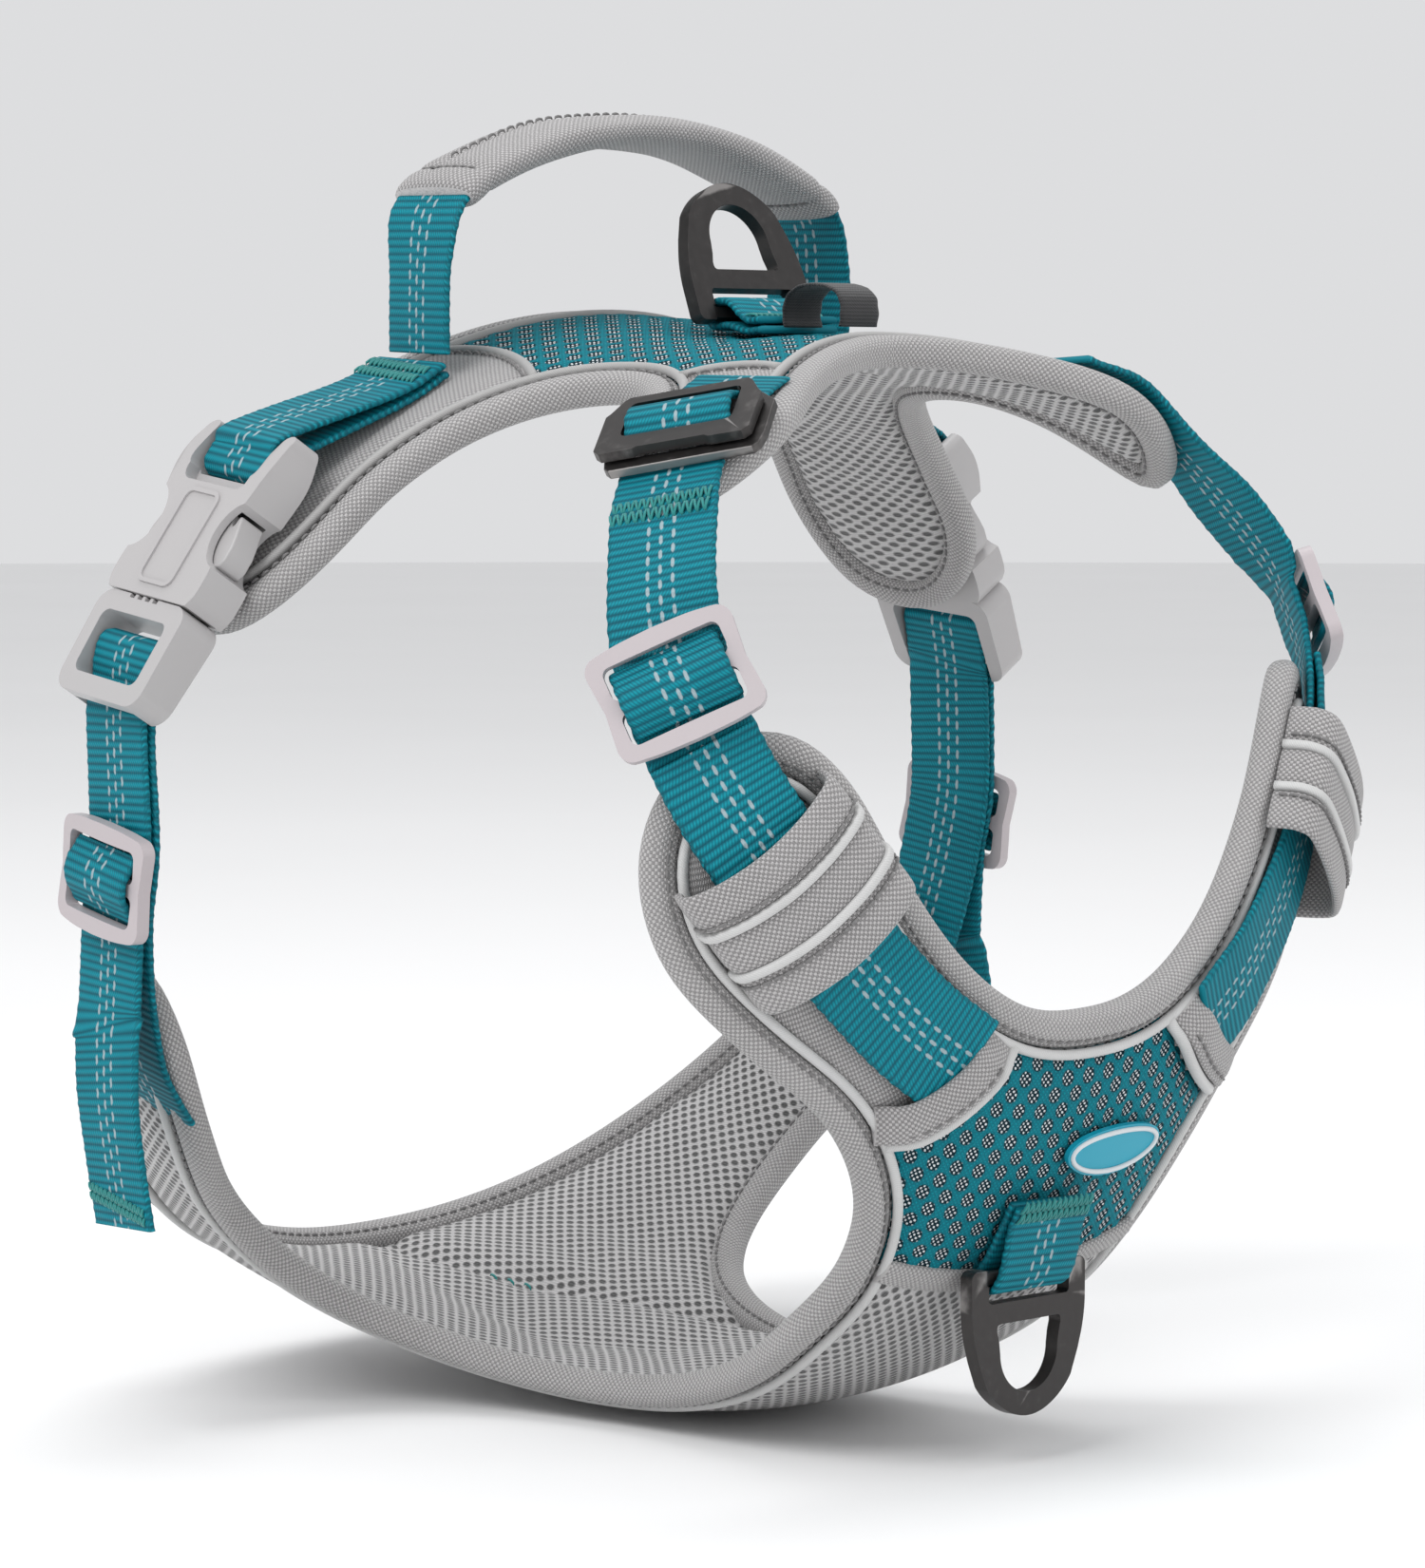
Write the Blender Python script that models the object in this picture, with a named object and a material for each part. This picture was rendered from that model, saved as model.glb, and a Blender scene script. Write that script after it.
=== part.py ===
"""No-pull dog harness, modelled as separate sewn and moulded pieces.

Frame: +X towards the dog's head, +Y towards the dog's left, +Z up, in metres.
The origin is on the spine, level with the top of the back pad's inner face.
The worn shape is a torso surface between three tilted ovals: girth, shoulders and neck.
A place on it is (t, angle, lift): t runs from the girth loop (0) to the neck loop (1),
the angle runs from the spine (0) round the dog's left (90) to the belly (180), and the
lift is the height above the pads' outer face. The dog's right has negative angles.
"""
import bpy
import bmesh
from math import cos, exp, pi, radians, sin
from mathutils import Matrix, Vector
from mathutils.geometry import delaunay_2d_cdt

MM = 0.001
GAP = 0.3 * MM
PLY_GAP = 0.6 * MM

# Torso ovals: centre, half width, half height, forward tilt of the top, roll to the left.
GIRTH_OVAL = (Vector((-0.076, 0, -0.119)), 0.135, 0.129, radians(12.3), 0.0)
SHOULDER_OVAL = (Vector((0.044, 0, -0.143)), 0.150, 0.152, radians(-16.0), 0.0)
NECK_OVAL = (Vector((0.078, 0, -0.075)), 0.105, 0.081, radians(-21.4), radians(2.5))
# The back pad is stitched down under the leash loop: centre (t, angle), spread and depth.
STITCH_DIP = (0.56, 0.0, 0.15, 13.0, 2.5 * MM)

# Webbing.
WEB_WIDTH = 25 * MM
WEB_THICK = 1.7 * MM
PLY_1 = 1.25 * MM
PLY_2 = PLY_1 + WEB_THICK + PLY_GAP
PLY_TOP = PLY_2 + WEB_THICK / 2

# Pad layers, as lifts of their inner and outer faces.
LINING_LIFTS = (-8.0 * MM, -6.6 * MM)
FOAM_LIFTS = (-6.3 * MM, -4.2 * MM)
COVER_LIFTS = (-1.7 * MM, 0.0)
BINDING_RADIUS = 3.9 * MM
PIPING_RADIUS = 1.1 * MM
PIPING_INSET = 2 * BINDING_RADIUS + GAP + PIPING_RADIUS
PIPING_LIFT = -1.0 * MM
FOAM_INSET = 2 * BINDING_RADIUS + 3 * GAP
COVER_INSET = PIPING_INSET + PIPING_RADIUS + 5 * GAP

# Right halves of the two panels' outlines, as (t, angle from the spine).
BACK_OUTLINE = [
    (1.00, 0), (1.04, 10), (1.10, 22), (1.15, 33), (1.17, 44), (1.12, 53), (1.00, 56),
    (0.90, 53), (0.84, 44), (0.79, 34), (0.70, 27), (0.57, 25.5), (0.44, 28), (0.33, 34),
    (0.25, 43), (0.21, 52), (0.15, 59), (0.06, 64), (-0.05, 64), (-0.12, 59), (-0.16, 50),
    (-0.15, 38), (-0.12, 25), (-0.10, 12), (-0.09, 0)]
CHEST_OUTLINE = [
    (0.995, 180), (1.00, 168), (1.03, 155), (1.08, 141), (1.12, 128), (1.12, 115), (1.07, 104),
    (0.97, 98), (0.885, 102), (0.845, 113), (0.85, 129), (0.845, 143), (0.79, 152.5), (0.70, 157),
    (0.58, 158.5), (0.45, 161.5), (0.32, 163), (0.20, 160.5), (0.115, 155), (0.07, 146), (0.058, 133),
    (0.08, 120), (0.085, 109), (0.05, 102), (-0.01, 102), (-0.045, 109), (-0.065, 120),
    (-0.085, 134), (-0.10, 150), (-0.11, 166), (-0.115, 180)]
BACK_SEAM_ANGLE = 25.0
CHEST_SEAM = ((0.80, 146.0), (1.06, 177.0))
CHEST_HEM_T = 0.72

# Side-release buckles: y runs up the strap from the parting line, z points outwards.
BUCKLE_T = 0.02
BUCKLE_ANGLE = 60.5
BUCKLE_LIFT = 7.4 * MM
PARTING_DROP = 10 * MM
BUCKLE_WIDTH = 36 * MM
SOCKET_LENGTH = 33 * MM
EAR_LENGTH = 47 * MM
SOCKET_THICK = 12 * MM
CAVITY_WIDTH = 29 * MM
CAVITY_THICK = 8 * MM
CAVITY_DEPTH = 28 * MM
SOCKET_BAR_Y = 38 * MM
PLUG_LENGTH = 26 * MM
PLUG_BAR_Y = -11.5 * MM
BAR_RADIUS = 1.6 * MM
WRAP_RADIUS = BAR_RADIUS + 2 * GAP + WEB_THICK / 2
PRONG_THICK = 7 * MM
PRONG_PIVOT = (9.5 * MM, 1 * MM)

# Free tail of each girth strap, hanging below its slider (left side; mirrored in y).
TAIL_POINTS = [(-0.0694, 0.1388, -0.1478), (-0.0690, 0.1396, -0.153), (-0.0682, 0.1410, -0.160),
               (-0.0668, 0.1420, -0.174), (-0.0656, 0.1408, -0.189), (-0.0648, 0.1388, -0.2035)]

# Strap sliders.
SLIDER_WIDTH = 34 * MM
SLIDER_LENGTH = 24 * MM
SLIDER_THICK = 3.0 * MM
SLIDER_LIFT = PLY_TOP + GAP + SLIDER_THICK / 2
SLOT_WIDTH = 27 * MM
SLOT_LENGTH = 7.5 * MM
CENTRE_BAR = 3.0 * MM
GIRTH_T = 0.045
GIRTH_SLIDER_ANGLE = 91.0
NECK_T = 1.02
NECK_SLIDER_ANGLE = 89.5
NECK_BUCKLE_TILT = radians(12)
NECK_HOOK_PIVOT = (0, 8.7 * MM, 0)

# Keepers on the chest arms: their middle as (t, angle).
KEEPER_PLACE = (1.0, 125.0)

# Leash rings: y runs from the base bar's axis to the crown.
RING_THICK = 3.6 * MM
RING_AXIS_LIFT = 4.2 * MM
RING_BAR = 1.3 * MM
RING_WRAP = 2.15 * MM + WEB_THICK / 2
TOP_RING_T = 0.485
TOP_RING_LEAN = radians(-20.0)
CHEST_RING_T = 0.745
CHEST_RING_ANGLE = 182.0

# Oval badge on the breast plate: its middle as (t, angle).
BADGE_PLACE = (0.862, 173.0)
BADGE_LEAN = radians(4)
BADGE_HALF_LENGTH = 17.5 * MM
BADGE_HALF_HEIGHT = 5.4 * MM
BADGE_LIFTS = (0.5 * MM, 1.9 * MM)

# Handle, in the plane x = HANDLE_X: (y, z) points of its right half.
HANDLE_X = -0.046
HANDLE_LEAN = 0.03
HANDLE_TWIST = radians(9)
HANDLE_POINTS = [(-64.5, -3.5), (-64.8, 8), (-64.6, 20), (-63, 29.5), (-57, 35.5), (-46, 40.8), (-31, 46.0),
                 (-16, 49.0), (0, 50)]
HANDLE_PIVOT = (HANDLE_X, 0, -6 * MM)
SLEEVE_START = 61 * MM
SLEEVE_WIDTH = 27.5 * MM
SLEEVE_THICK = 8.6 * MM

TEAL = (0.012, 0.21, 0.27)
GREY_WOVEN = (0.37, 0.36, 0.36)
GREY_MESH = (0.50, 0.49, 0.49)
PIPING_GREY = (0.62, 0.62, 0.62)
PLASTIC_GREY = (0.58, 0.56, 0.56)
GUNMETAL = (0.045, 0.043, 0.043)
BLACK = (0.01, 0.01, 0.012)
BADGE_BLUE = (0.05, 0.36, 0.52)


# ---------------------------------------------------------------- torso surface

def oval_point(oval, angle):
    centre, half_width, half_height, tilt, roll = oval
    up = Vector((sin(tilt), 0, cos(tilt)))
    left = Vector((0, 1, 0))
    up, left = up * cos(roll) - left * sin(roll), left * cos(roll) + up * sin(roll)
    return centre + left * (half_width * sin(angle)) + up * (half_height * cos(angle))


def torso(t, angle):
    a = radians(angle)
    girth, shoulder, neck = (oval_point(o, a) for o in (GIRTH_OVAL, SHOULDER_OVAL, NECK_OVAL))
    point = girth * (1 - t) ** 2 + shoulder * (2 * t * (1 - t)) + neck * t ** 2
    dip_t, dip_angle, spread_t, spread_angle, depth = STITCH_DIP
    off = ((t - dip_t) / spread_t) ** 2 + ((angle - dip_angle) / spread_angle) ** 2
    return point - Vector((0, 0, depth * exp(-off)))


def tangents(t, angle):
    """Rates of change along t and along the angle in degrees."""
    along = (torso(t + 1e-3, angle) - torso(t - 1e-3, angle)) / 2e-3
    around = (torso(t, angle + 0.1) - torso(t, angle - 0.1)) / 0.2
    return along, around


def outward(t, angle):
    along, around = tangents(t, angle)
    return along.cross(around).normalized()


def on_torso(t, angle, lift=0.0):
    return torso(t, angle) + outward(t, angle) * lift


def seat(t, angle, lift):
    """Local frame on the torso: x across the strap, y up the strap, z outwards."""
    z = outward(t, angle)
    y = tangents(t, angle)[1].normalized() * (-1 if angle > 0 else 1)
    rotation = Matrix((y.cross(z), y, z)).transposed().to_4x4()
    return Matrix.Translation(on_torso(t, angle, lift)) @ rotation


# ---------------------------------------------------------------- points and paths

def smooth_path(points, per_span, closed=False):
    """Catmull-Rom curve through the points, with per_span samples a span."""
    pts = [Vector(p) for p in points]
    count = len(pts)
    spans = count if closed else count - 1
    path = []
    for i in range(spans):
        if closed:
            a, b, c, d = (pts[(i + k) % count] for k in (-1, 0, 1, 2))
        else:
            b, c = pts[i], pts[i + 1]
            a = pts[i - 1] if i else b * 2 - c
            d = pts[i + 2] if i + 2 < count else c * 2 - b
        for k in range(per_span):
            u = k / per_span
            path.append(0.5 * (2 * b + (c - a) * u + (2 * a - 5 * b + 4 * c - d) * u ** 2
                               + (3 * b - a - 3 * c + d) * u ** 3))
    if not closed:
        path.append(pts[-1])
    return path


def even_path(points, count, closed=False):
    """The same path with count points at even distances."""
    ring = points + points[:1] if closed else points
    lengths = [0.0]
    for p, q in zip(ring, ring[1:]):
        lengths.append(lengths[-1] + (q - p).length)
    steps = count if closed else count - 1
    path, k = [], 0
    for i in range(count):
        target = lengths[-1] * i / steps
        while k < len(ring) - 2 and lengths[k + 1] < target:
            k += 1
        part = (target - lengths[k]) / max(lengths[k + 1] - lengths[k], 1e-12)
        path.append(ring[k].lerp(ring[k + 1], min(part, 1.0)))
    return path


def arc(centre, radius, start, end, steps):
    """Points (x, y) on a circle, angles in degrees."""
    angles = [radians(start + (end - start) * i / steps) for i in range(steps + 1)]
    return [(centre[0] + radius * cos(a), centre[1] + radius * sin(a)) for a in angles]


def rounded_box(x0, y0, x1, y1, radius, steps=2):
    corners = [((x1 - radius, y0 + radius), -90), ((x1 - radius, y1 - radius), 0),
               ((x0 + radius, y1 - radius), 90), ((x0 + radius, y0 + radius), 180)]
    return [p for centre, start in corners for p in arc(centre, radius, start, start + 90, steps)]


# ---------------------------------------------------------------- panels

def mirrored_outline(half, middle):
    """Whole outline from its right half; middle is the angle of the plane of symmetry."""
    right = [(t, 2 * middle - a if middle else -a) for t, a in half]
    left = list(half)[1:-1]
    return [Vector((t, a)) for t, a in right + left[::-1]]


def panel_curve(half, middle, spacing):
    """Closed outline as even (t, angle) points about one spacing apart on the torso."""
    fine = smooth_path(mirrored_outline(half, middle), 8, closed=True)
    places = [torso(p.x, p.y) for p in fine]
    lengths = [(q - p).length for p, q in zip(places, places[1:] + places[:1])]
    total = sum(lengths)
    count = round(total / spacing)
    curve, k, done = [], 0, 0.0
    for i in range(count):
        target = total * i / count
        while done + lengths[k] < target:
            done += lengths[k]
            k += 1
        part = (target - done) / lengths[k]
        curve.append(fine[k].lerp(fine[(k + 1) % len(fine)], part))
    return curve


def place_step(t, angle, step):
    """Change of (t, angle) that moves a place by a tangent vector."""
    along, around = tangents(t, angle)
    aa, ab, bb = along.dot(along), along.dot(around), around.dot(around)
    sa, sb = step.dot(along), step.dot(around)
    scale = aa * bb - ab * ab
    return (sa * bb - sb * ab) / scale, (sb * aa - sa * ab) / scale


def inset(curve, distance):
    """Moves a closed (t, angle) curve inwards along the torso by a distance."""
    area = sum(p.x * q.y - q.x * p.y for p, q in zip(curve, curve[1:] + curve[:1]))
    turn = 1 if area > 0 else -1
    result = []
    for i, p in enumerate(curve):
        before, after = curve[i - 1], curve[(i + 1) % len(curve)]
        run = torso(after.x, after.y) - torso(before.x, before.y)
        step = outward(p.x, p.y).cross(run).normalized() * (turn * distance)
        result.append(p + Vector(place_step(p.x, p.y, step)))
    return result


def clip(curve, a, b):
    """Keeps the part of a closed (t, angle) curve on the left of the line from a to b."""
    def side(p):
        return (b[0] - a[0]) * (p.y - a[1]) - (b[1] - a[1]) * (p.x - a[0])
    kept = []
    for p, q in zip(curve, curve[1:] + curve[:1]):
        sp, sq = side(p), side(q)
        if sp >= 0:
            kept.append(p)
        if sp * sq < 0:
            kept.append(p.lerp(q, sp / (sp - sq)))
    return kept


def inside(curve, point):
    hit = False
    for p, q in zip(curve, curve[1:] + curve[:1]):
        if (p.y > point.y) != (q.y > point.y):
            hit ^= point.x < p.x + (point.y - p.y) * (q.x - p.x) / (q.y - p.y)
    return hit


def panel(name, curve, lifts, spacing, colour):
    """Solid layer between two lifts, filled inside the (t, angle) curve."""
    flat_t, flat_angle = 0.20, 0.0022
    rim = []
    for p, q in zip(curve, curve[1:] + curve[:1]):
        a, b = (Vector((c.x * flat_t, c.y * flat_angle)) for c in (p, q))
        cuts = max(1, round((b - a).length / spacing))
        rim += [a.lerp(b, i / cuts) for i in range(cuts)]
    margin = spacing * 0.45
    low = Vector((min(p.x for p in rim), min(p.y for p in rim)))
    high = Vector((max(p.x for p in rim), max(p.y for p in rim)))
    points = list(rim)
    for i in range(1, int((high.x - low.x) / spacing) + 1):
        for j in range(1, int((high.y - low.y) / spacing) + 1):
            p = Vector((low.x + i * spacing, low.y + (j - 0.5 * (i % 2)) * spacing))
            if inside(rim, p) and min((p - q).length for q in rim) > margin:
                points.append(p)
    edges = [(i, (i + 1) % len(rim)) for i in range(len(rim))]
    flat, _, faces, *_ = delaunay_2d_cdt(points, edges, [], 1, 1e-7)
    places = [(p.x / flat_t, p.y / flat_angle) for p in flat]
    bm = bmesh.new()
    inner = [bm.verts.new(on_torso(t, a, lifts[0])) for t, a in places]
    outer = [bm.verts.new(on_torso(t, a, lifts[1])) for t, a in places]
    used = {}
    for face in faces:
        bm.faces.new([outer[i] for i in face])
        bm.faces.new([inner[i] for i in reversed(face)])
        for i, j in zip(face, face[1:] + face[:1]):
            used[(i, j)] = True
    for i, j in used:
        if (j, i) not in used:
            bm.faces.new((outer[j], outer[i], inner[i], inner[j]))
    for vert in [v for v in bm.verts if not v.link_faces]:
        bm.verts.remove(vert)
    return finish_mesh(name, bm, colour, smooth_angle=50)


def edge_tube(name, curve, distance, lift, radius, colour):
    """Round roll that follows a panel's outline."""
    line = [on_torso(p.x, p.y, lift) for p in inset(curve, distance)]
    return tube(name, line, radius, colour, closed=True)


# ---------------------------------------------------------------- mesh helpers

def material(name, colour, metallic=0.0, roughness=0.6):
    mat = bpy.data.materials.new(name)
    mat.use_nodes = True
    shader = mat.node_tree.nodes["Principled BSDF"]
    shader.inputs["Base Color"].default_value = (*colour, 1)
    shader.inputs["Metallic"].default_value = metallic
    shader.inputs["Roughness"].default_value = roughness
    return mat


def dress(obj, colour):
    metallic = 0.9 if colour == GUNMETAL else 0.0
    roughness = 0.35 if colour in (GUNMETAL, PLASTIC_GREY) else 0.85
    obj.data.materials.clear()
    obj.data.materials.append(material(obj.name, colour, metallic, roughness))
    return obj


def finish_mesh(name, bm, colour, smooth_angle=None, matrix=None):
    """Object from a bmesh, with its faces made to point outwards."""
    bmesh.ops.recalc_face_normals(bm, faces=bm.faces)
    if bm.calc_volume(signed=True) < 0:
        bmesh.ops.reverse_faces(bm, faces=bm.faces)
    mesh = bpy.data.meshes.new(name)
    bm.to_mesh(mesh)
    bm.free()
    if smooth_angle:
        mesh.shade_smooth()
        mesh.set_sharp_from_angle(angle=radians(smooth_angle))
    obj = bpy.data.objects.new(name, mesh)
    if matrix:
        obj.matrix_world = matrix
    PARTS.objects.link(obj)
    return dress(obj, colour)


def curve_object(name, splines, closed, dimensions):
    curve = bpy.data.curves.new(name, "CURVE")
    curve.dimensions = dimensions
    curve.resolution_u = 1
    curve.render_resolution_u = 0
    for points in splines:
        spline = curve.splines.new("POLY")
        spline.points.add(len(points) - 1)
        for target, p in zip(spline.points, points):
            target.co = (p[0], p[1], p[2] if len(p) > 2 else 0, 1)
        spline.use_cyclic_u = closed
    return bpy.data.objects.new(name, curve)


def tube(name, points, radius, colour, closed=False, sides=1):
    obj = curve_object(name, [points], closed, "3D")
    obj.data.bevel_depth = radius
    obj.data.bevel_resolution = sides
    obj.data.use_fill_caps = not closed
    PARTS.objects.link(obj)
    return dress(obj, colour)


def plate(name, splines, thick, matrix, colour, z=0.0):
    """Flat plate from an outline and the outlines of its holes, as a mesh."""
    source = curve_object(name + "_outline", splines, True, "2D")
    source.data.fill_mode = "BOTH"
    source.data.extrude = thick / 2
    PARTS.objects.link(source)
    bpy.context.view_layer.update()
    evaluated = source.evaluated_get(bpy.context.evaluated_depsgraph_get())
    mesh = bpy.data.meshes.new_from_object(evaluated)
    bpy.data.objects.remove(source)
    bm = bmesh.new()
    bm.from_mesh(mesh)
    bpy.data.meshes.remove(mesh)
    bmesh.ops.remove_doubles(bm, verts=bm.verts, dist=1e-6)
    bmesh.ops.translate(bm, verts=bm.verts, vec=(0, 0, z))
    return finish_mesh(name, bm, colour, smooth_angle=40, matrix=matrix)


def box(name, low, high, matrix, colour):
    """Box between two local corners."""
    bm = bmesh.new()
    bmesh.ops.create_cube(bm, size=1)
    low, high = Vector(low), Vector(high)
    bmesh.ops.scale(bm, verts=bm.verts, vec=high - low)
    bmesh.ops.translate(bm, verts=bm.verts, vec=(low + high) / 2)
    return finish_mesh(name, bm, colour, matrix=matrix)


def rod(name, start, end, radius, matrix, colour, segments=12):
    """Cylinder between two local points."""
    start, end = Vector(start), Vector(end)
    bm = bmesh.new()
    bmesh.ops.create_cone(bm, cap_ends=True, segments=segments, radius1=radius, radius2=radius,
                          depth=(end - start).length)
    turn = (end - start).to_track_quat("Z", "Y").to_matrix().to_4x4()
    place = Matrix.Translation((start + end) / 2) @ turn
    bmesh.ops.transform(bm, matrix=place, verts=bm.verts)
    return finish_mesh(name, bm, colour, smooth_angle=40, matrix=matrix)


def combine(obj, other, operation):
    """Boolean of another object into obj; the other is used up."""
    modifier = obj.modifiers.new(operation.title(), "BOOLEAN")
    modifier.operation = operation
    modifier.solver = "EXACT"
    modifier.object = other
    bpy.context.view_layer.update()
    evaluated = obj.evaluated_get(bpy.context.evaluated_depsgraph_get())
    mesh = bpy.data.meshes.new_from_object(evaluated)
    obj.modifiers.clear()
    obj.data = mesh
    bpy.data.objects.remove(other)
    return obj


def ribbon(name, stations, colour, width=WEB_WIDTH, thick=WEB_THICK):
    """Flat strap lofted through stations of (centre, direction across)."""
    centres = [Vector(c) for c, _ in stations]
    bm = bmesh.new()
    rings = []
    for i, (centre, across) in enumerate(stations):
        run = centres[min(i + 1, len(centres) - 1)] - centres[max(i - 1, 0)]
        across = (across - run.normalized() * across.dot(run.normalized())).normalized()
        normal = run.cross(across).normalized()
        a, n = across * (width / 2), normal * (thick / 2)
        rings.append([bm.verts.new(centre + s) for s in (-a - n, a - n, a + n, -a + n)])
    for first, second in zip(rings, rings[1:]):
        for k in range(4):
            bm.faces.new((first[k], first[(k + 1) % 4], second[(k + 1) % 4], second[k]))
    bm.faces.new(rings[0])
    bm.faces.new(rings[-1])
    return finish_mesh(name, bm, colour, smooth_angle=50)


def surface_stations(places):
    """Ribbon stations at (t, angle, lift) places, with the strap's width along t."""
    return [(on_torso(*p), tangents(p[0], p[1])[0]) for p in places]


def local_stations(matrix, places):
    """Ribbon stations at local (y, z) places, with the strap's width along local x."""
    across = matrix.to_3x3() @ Vector((1, 0, 0))
    return [(matrix @ Vector((0, y, z)), across) for y, z in places]


def eased(stations, count):
    """Smooth run of stations through the given ones."""
    centres = even_path(smooth_path([c for c, _ in stations], 8), count)
    spans = len(stations) - 1
    acrosses = []
    for centre in centres:
        k = min(range(spans + 1), key=lambda i: (stations[i][0] - centre).length)
        acrosses.append(stations[k][1].normalized())
    blurred = [sum(acrosses[max(i - 2, 0):i + 3], Vector()) for i in range(count)]
    return list(zip(centres, blurred))


# ---------------------------------------------------------------- the two pads

def make_panels():
    """Lining, foam, covers, edge roll and piping of the back pad and the chest pad."""
    for name, half, middle in (("back", BACK_OUTLINE, 0), ("chest", CHEST_OUTLINE, 180)):
        curve = panel_curve(half, middle, 14 * MM)
        core = inset(curve, FOAM_INSET)
        panel(name + "_lining", core, LINING_LIFTS, 17 * MM, GREY_MESH)
        panel(name + "_foam", core, FOAM_LIFTS, 17 * MM, GREY_WOVEN)
        edge_tube(name + "_binding", curve, BINDING_RADIUS, -BINDING_RADIUS, BINDING_RADIUS, GREY_WOVEN)
        edge_tube(name + "_piping", curve, PIPING_INSET, PIPING_LIFT, PIPING_RADIUS, PIPING_GREY)
        cover = inset(curve, COVER_INSET)
        if middle:
            chest_covers(cover)
        else:
            back_covers(cover)


def back_covers(cover):
    """Mesh centre and four woven arm covers of the back pad."""
    seam, half_gap = BACK_SEAM_ANGLE, 0.15
    centre = clip(clip(cover, (0, -seam), (1, -seam)), (1, seam), (0, seam))
    panel("back_top_mesh", centre, COVER_LIFTS, 16 * MM, TEAL)
    for side, label in ((-1, "right"), (1, "left")):
        line = side * (seam + half_gap * 2)
        arms = clip(cover, (1, line), (0, line)) if side < 0 else clip(cover, (0, line), (1, line))
        front = clip(arms, (0.5, 1), (0.5, -1))
        rear = clip(arms, (0.5, -1), (0.5, 1))
        panel("front_arm_cover_" + label, without_spurs(front), COVER_LIFTS, 16 * MM, GREY_WOVEN)
        panel("rear_arm_cover_" + label, without_spurs(rear), COVER_LIFTS, 16 * MM, GREY_WOVEN)


def without_spurs(curve):
    """Drops repeated points and the flat spurs that clipping leaves."""
    points = list(curve)
    changed = True
    while changed:
        changed = False
        for k in range(len(points) - 1, -1, -1):
            here = points[k]
            back, on = points[k - 1] - here, points[(k + 1) % len(points)] - here
            spur = abs(back.x * on.y - back.y * on.x) < 1e-6 and back.dot(on) > 0
            if spur or on.length < 1e-5:
                points.pop(k)
                changed = True
                break
    return points


def chest_covers(cover):
    """Mesh breast plate, two woven arm covers and the belly cover of the chest pad."""
    (t0, a0), (t1, a1) = CHEST_SEAM
    gap = 0.4
    hem = CHEST_HEM_T
    plate_curve = clip(cover, (hem, 1), (hem, 0))
    left_line = ((t0, a0), (t1, a1))
    right_line = ((t1, 360 - a1), (t0, 360 - a0))
    plate_curve = clip(clip(plate_curve, *left_line), *right_line)
    panel("chest_top_mesh", without_spurs(plate_curve), COVER_LIFTS, 16 * MM, TEAL)
    left_arm = clip(clip(cover, (hem, 1), (hem, 0)), (t1, a1 - gap), (t0, a0 - gap))
    right_arm = clip(clip(cover, (hem, 1), (hem, 0)), (t0, 360 - a0 + gap), (t1, 360 - a1 + gap))
    panel("chest_arm_cover_left", without_spurs(left_arm), COVER_LIFTS, 16 * MM, GREY_WOVEN)
    panel("chest_arm_cover_right", without_spurs(right_arm), COVER_LIFTS, 16 * MM, GREY_WOVEN)
    belly = clip(cover, (hem - 0.004, 0), (hem - 0.004, 1))
    panel("belly_cover", without_spurs(belly), COVER_LIFTS, 17 * MM, GREY_MESH)


# ---------------------------------------------------------------- side-release buckles

def buckle_frame(side):
    """Local frame at the middle of the buckle's parting line."""
    return seat(BUCKLE_T, side * BUCKLE_ANGLE, BUCKLE_LIFT) @ Matrix.Translation((0, -PARTING_DROP, 0))


def socket_outline():
    half = BUCKLE_WIDTH / 2
    right = [(half - 1.5 * MM, GAP), (half, 9 * MM), (half - 1.5 * MM, 18 * MM), (half - 1.2 * MM, 26 * MM),
             (half, 33 * MM), (half + 0.5 * MM, 40 * MM), (half - 1 * MM, EAR_LENGTH),
             (half - 4 * MM, EAR_LENGTH), (13.6 * MM, 40 * MM), (13.6 * MM, SOCKET_LENGTH)]
    return right + [(-x, y) for x, y in reversed(right)]


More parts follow.
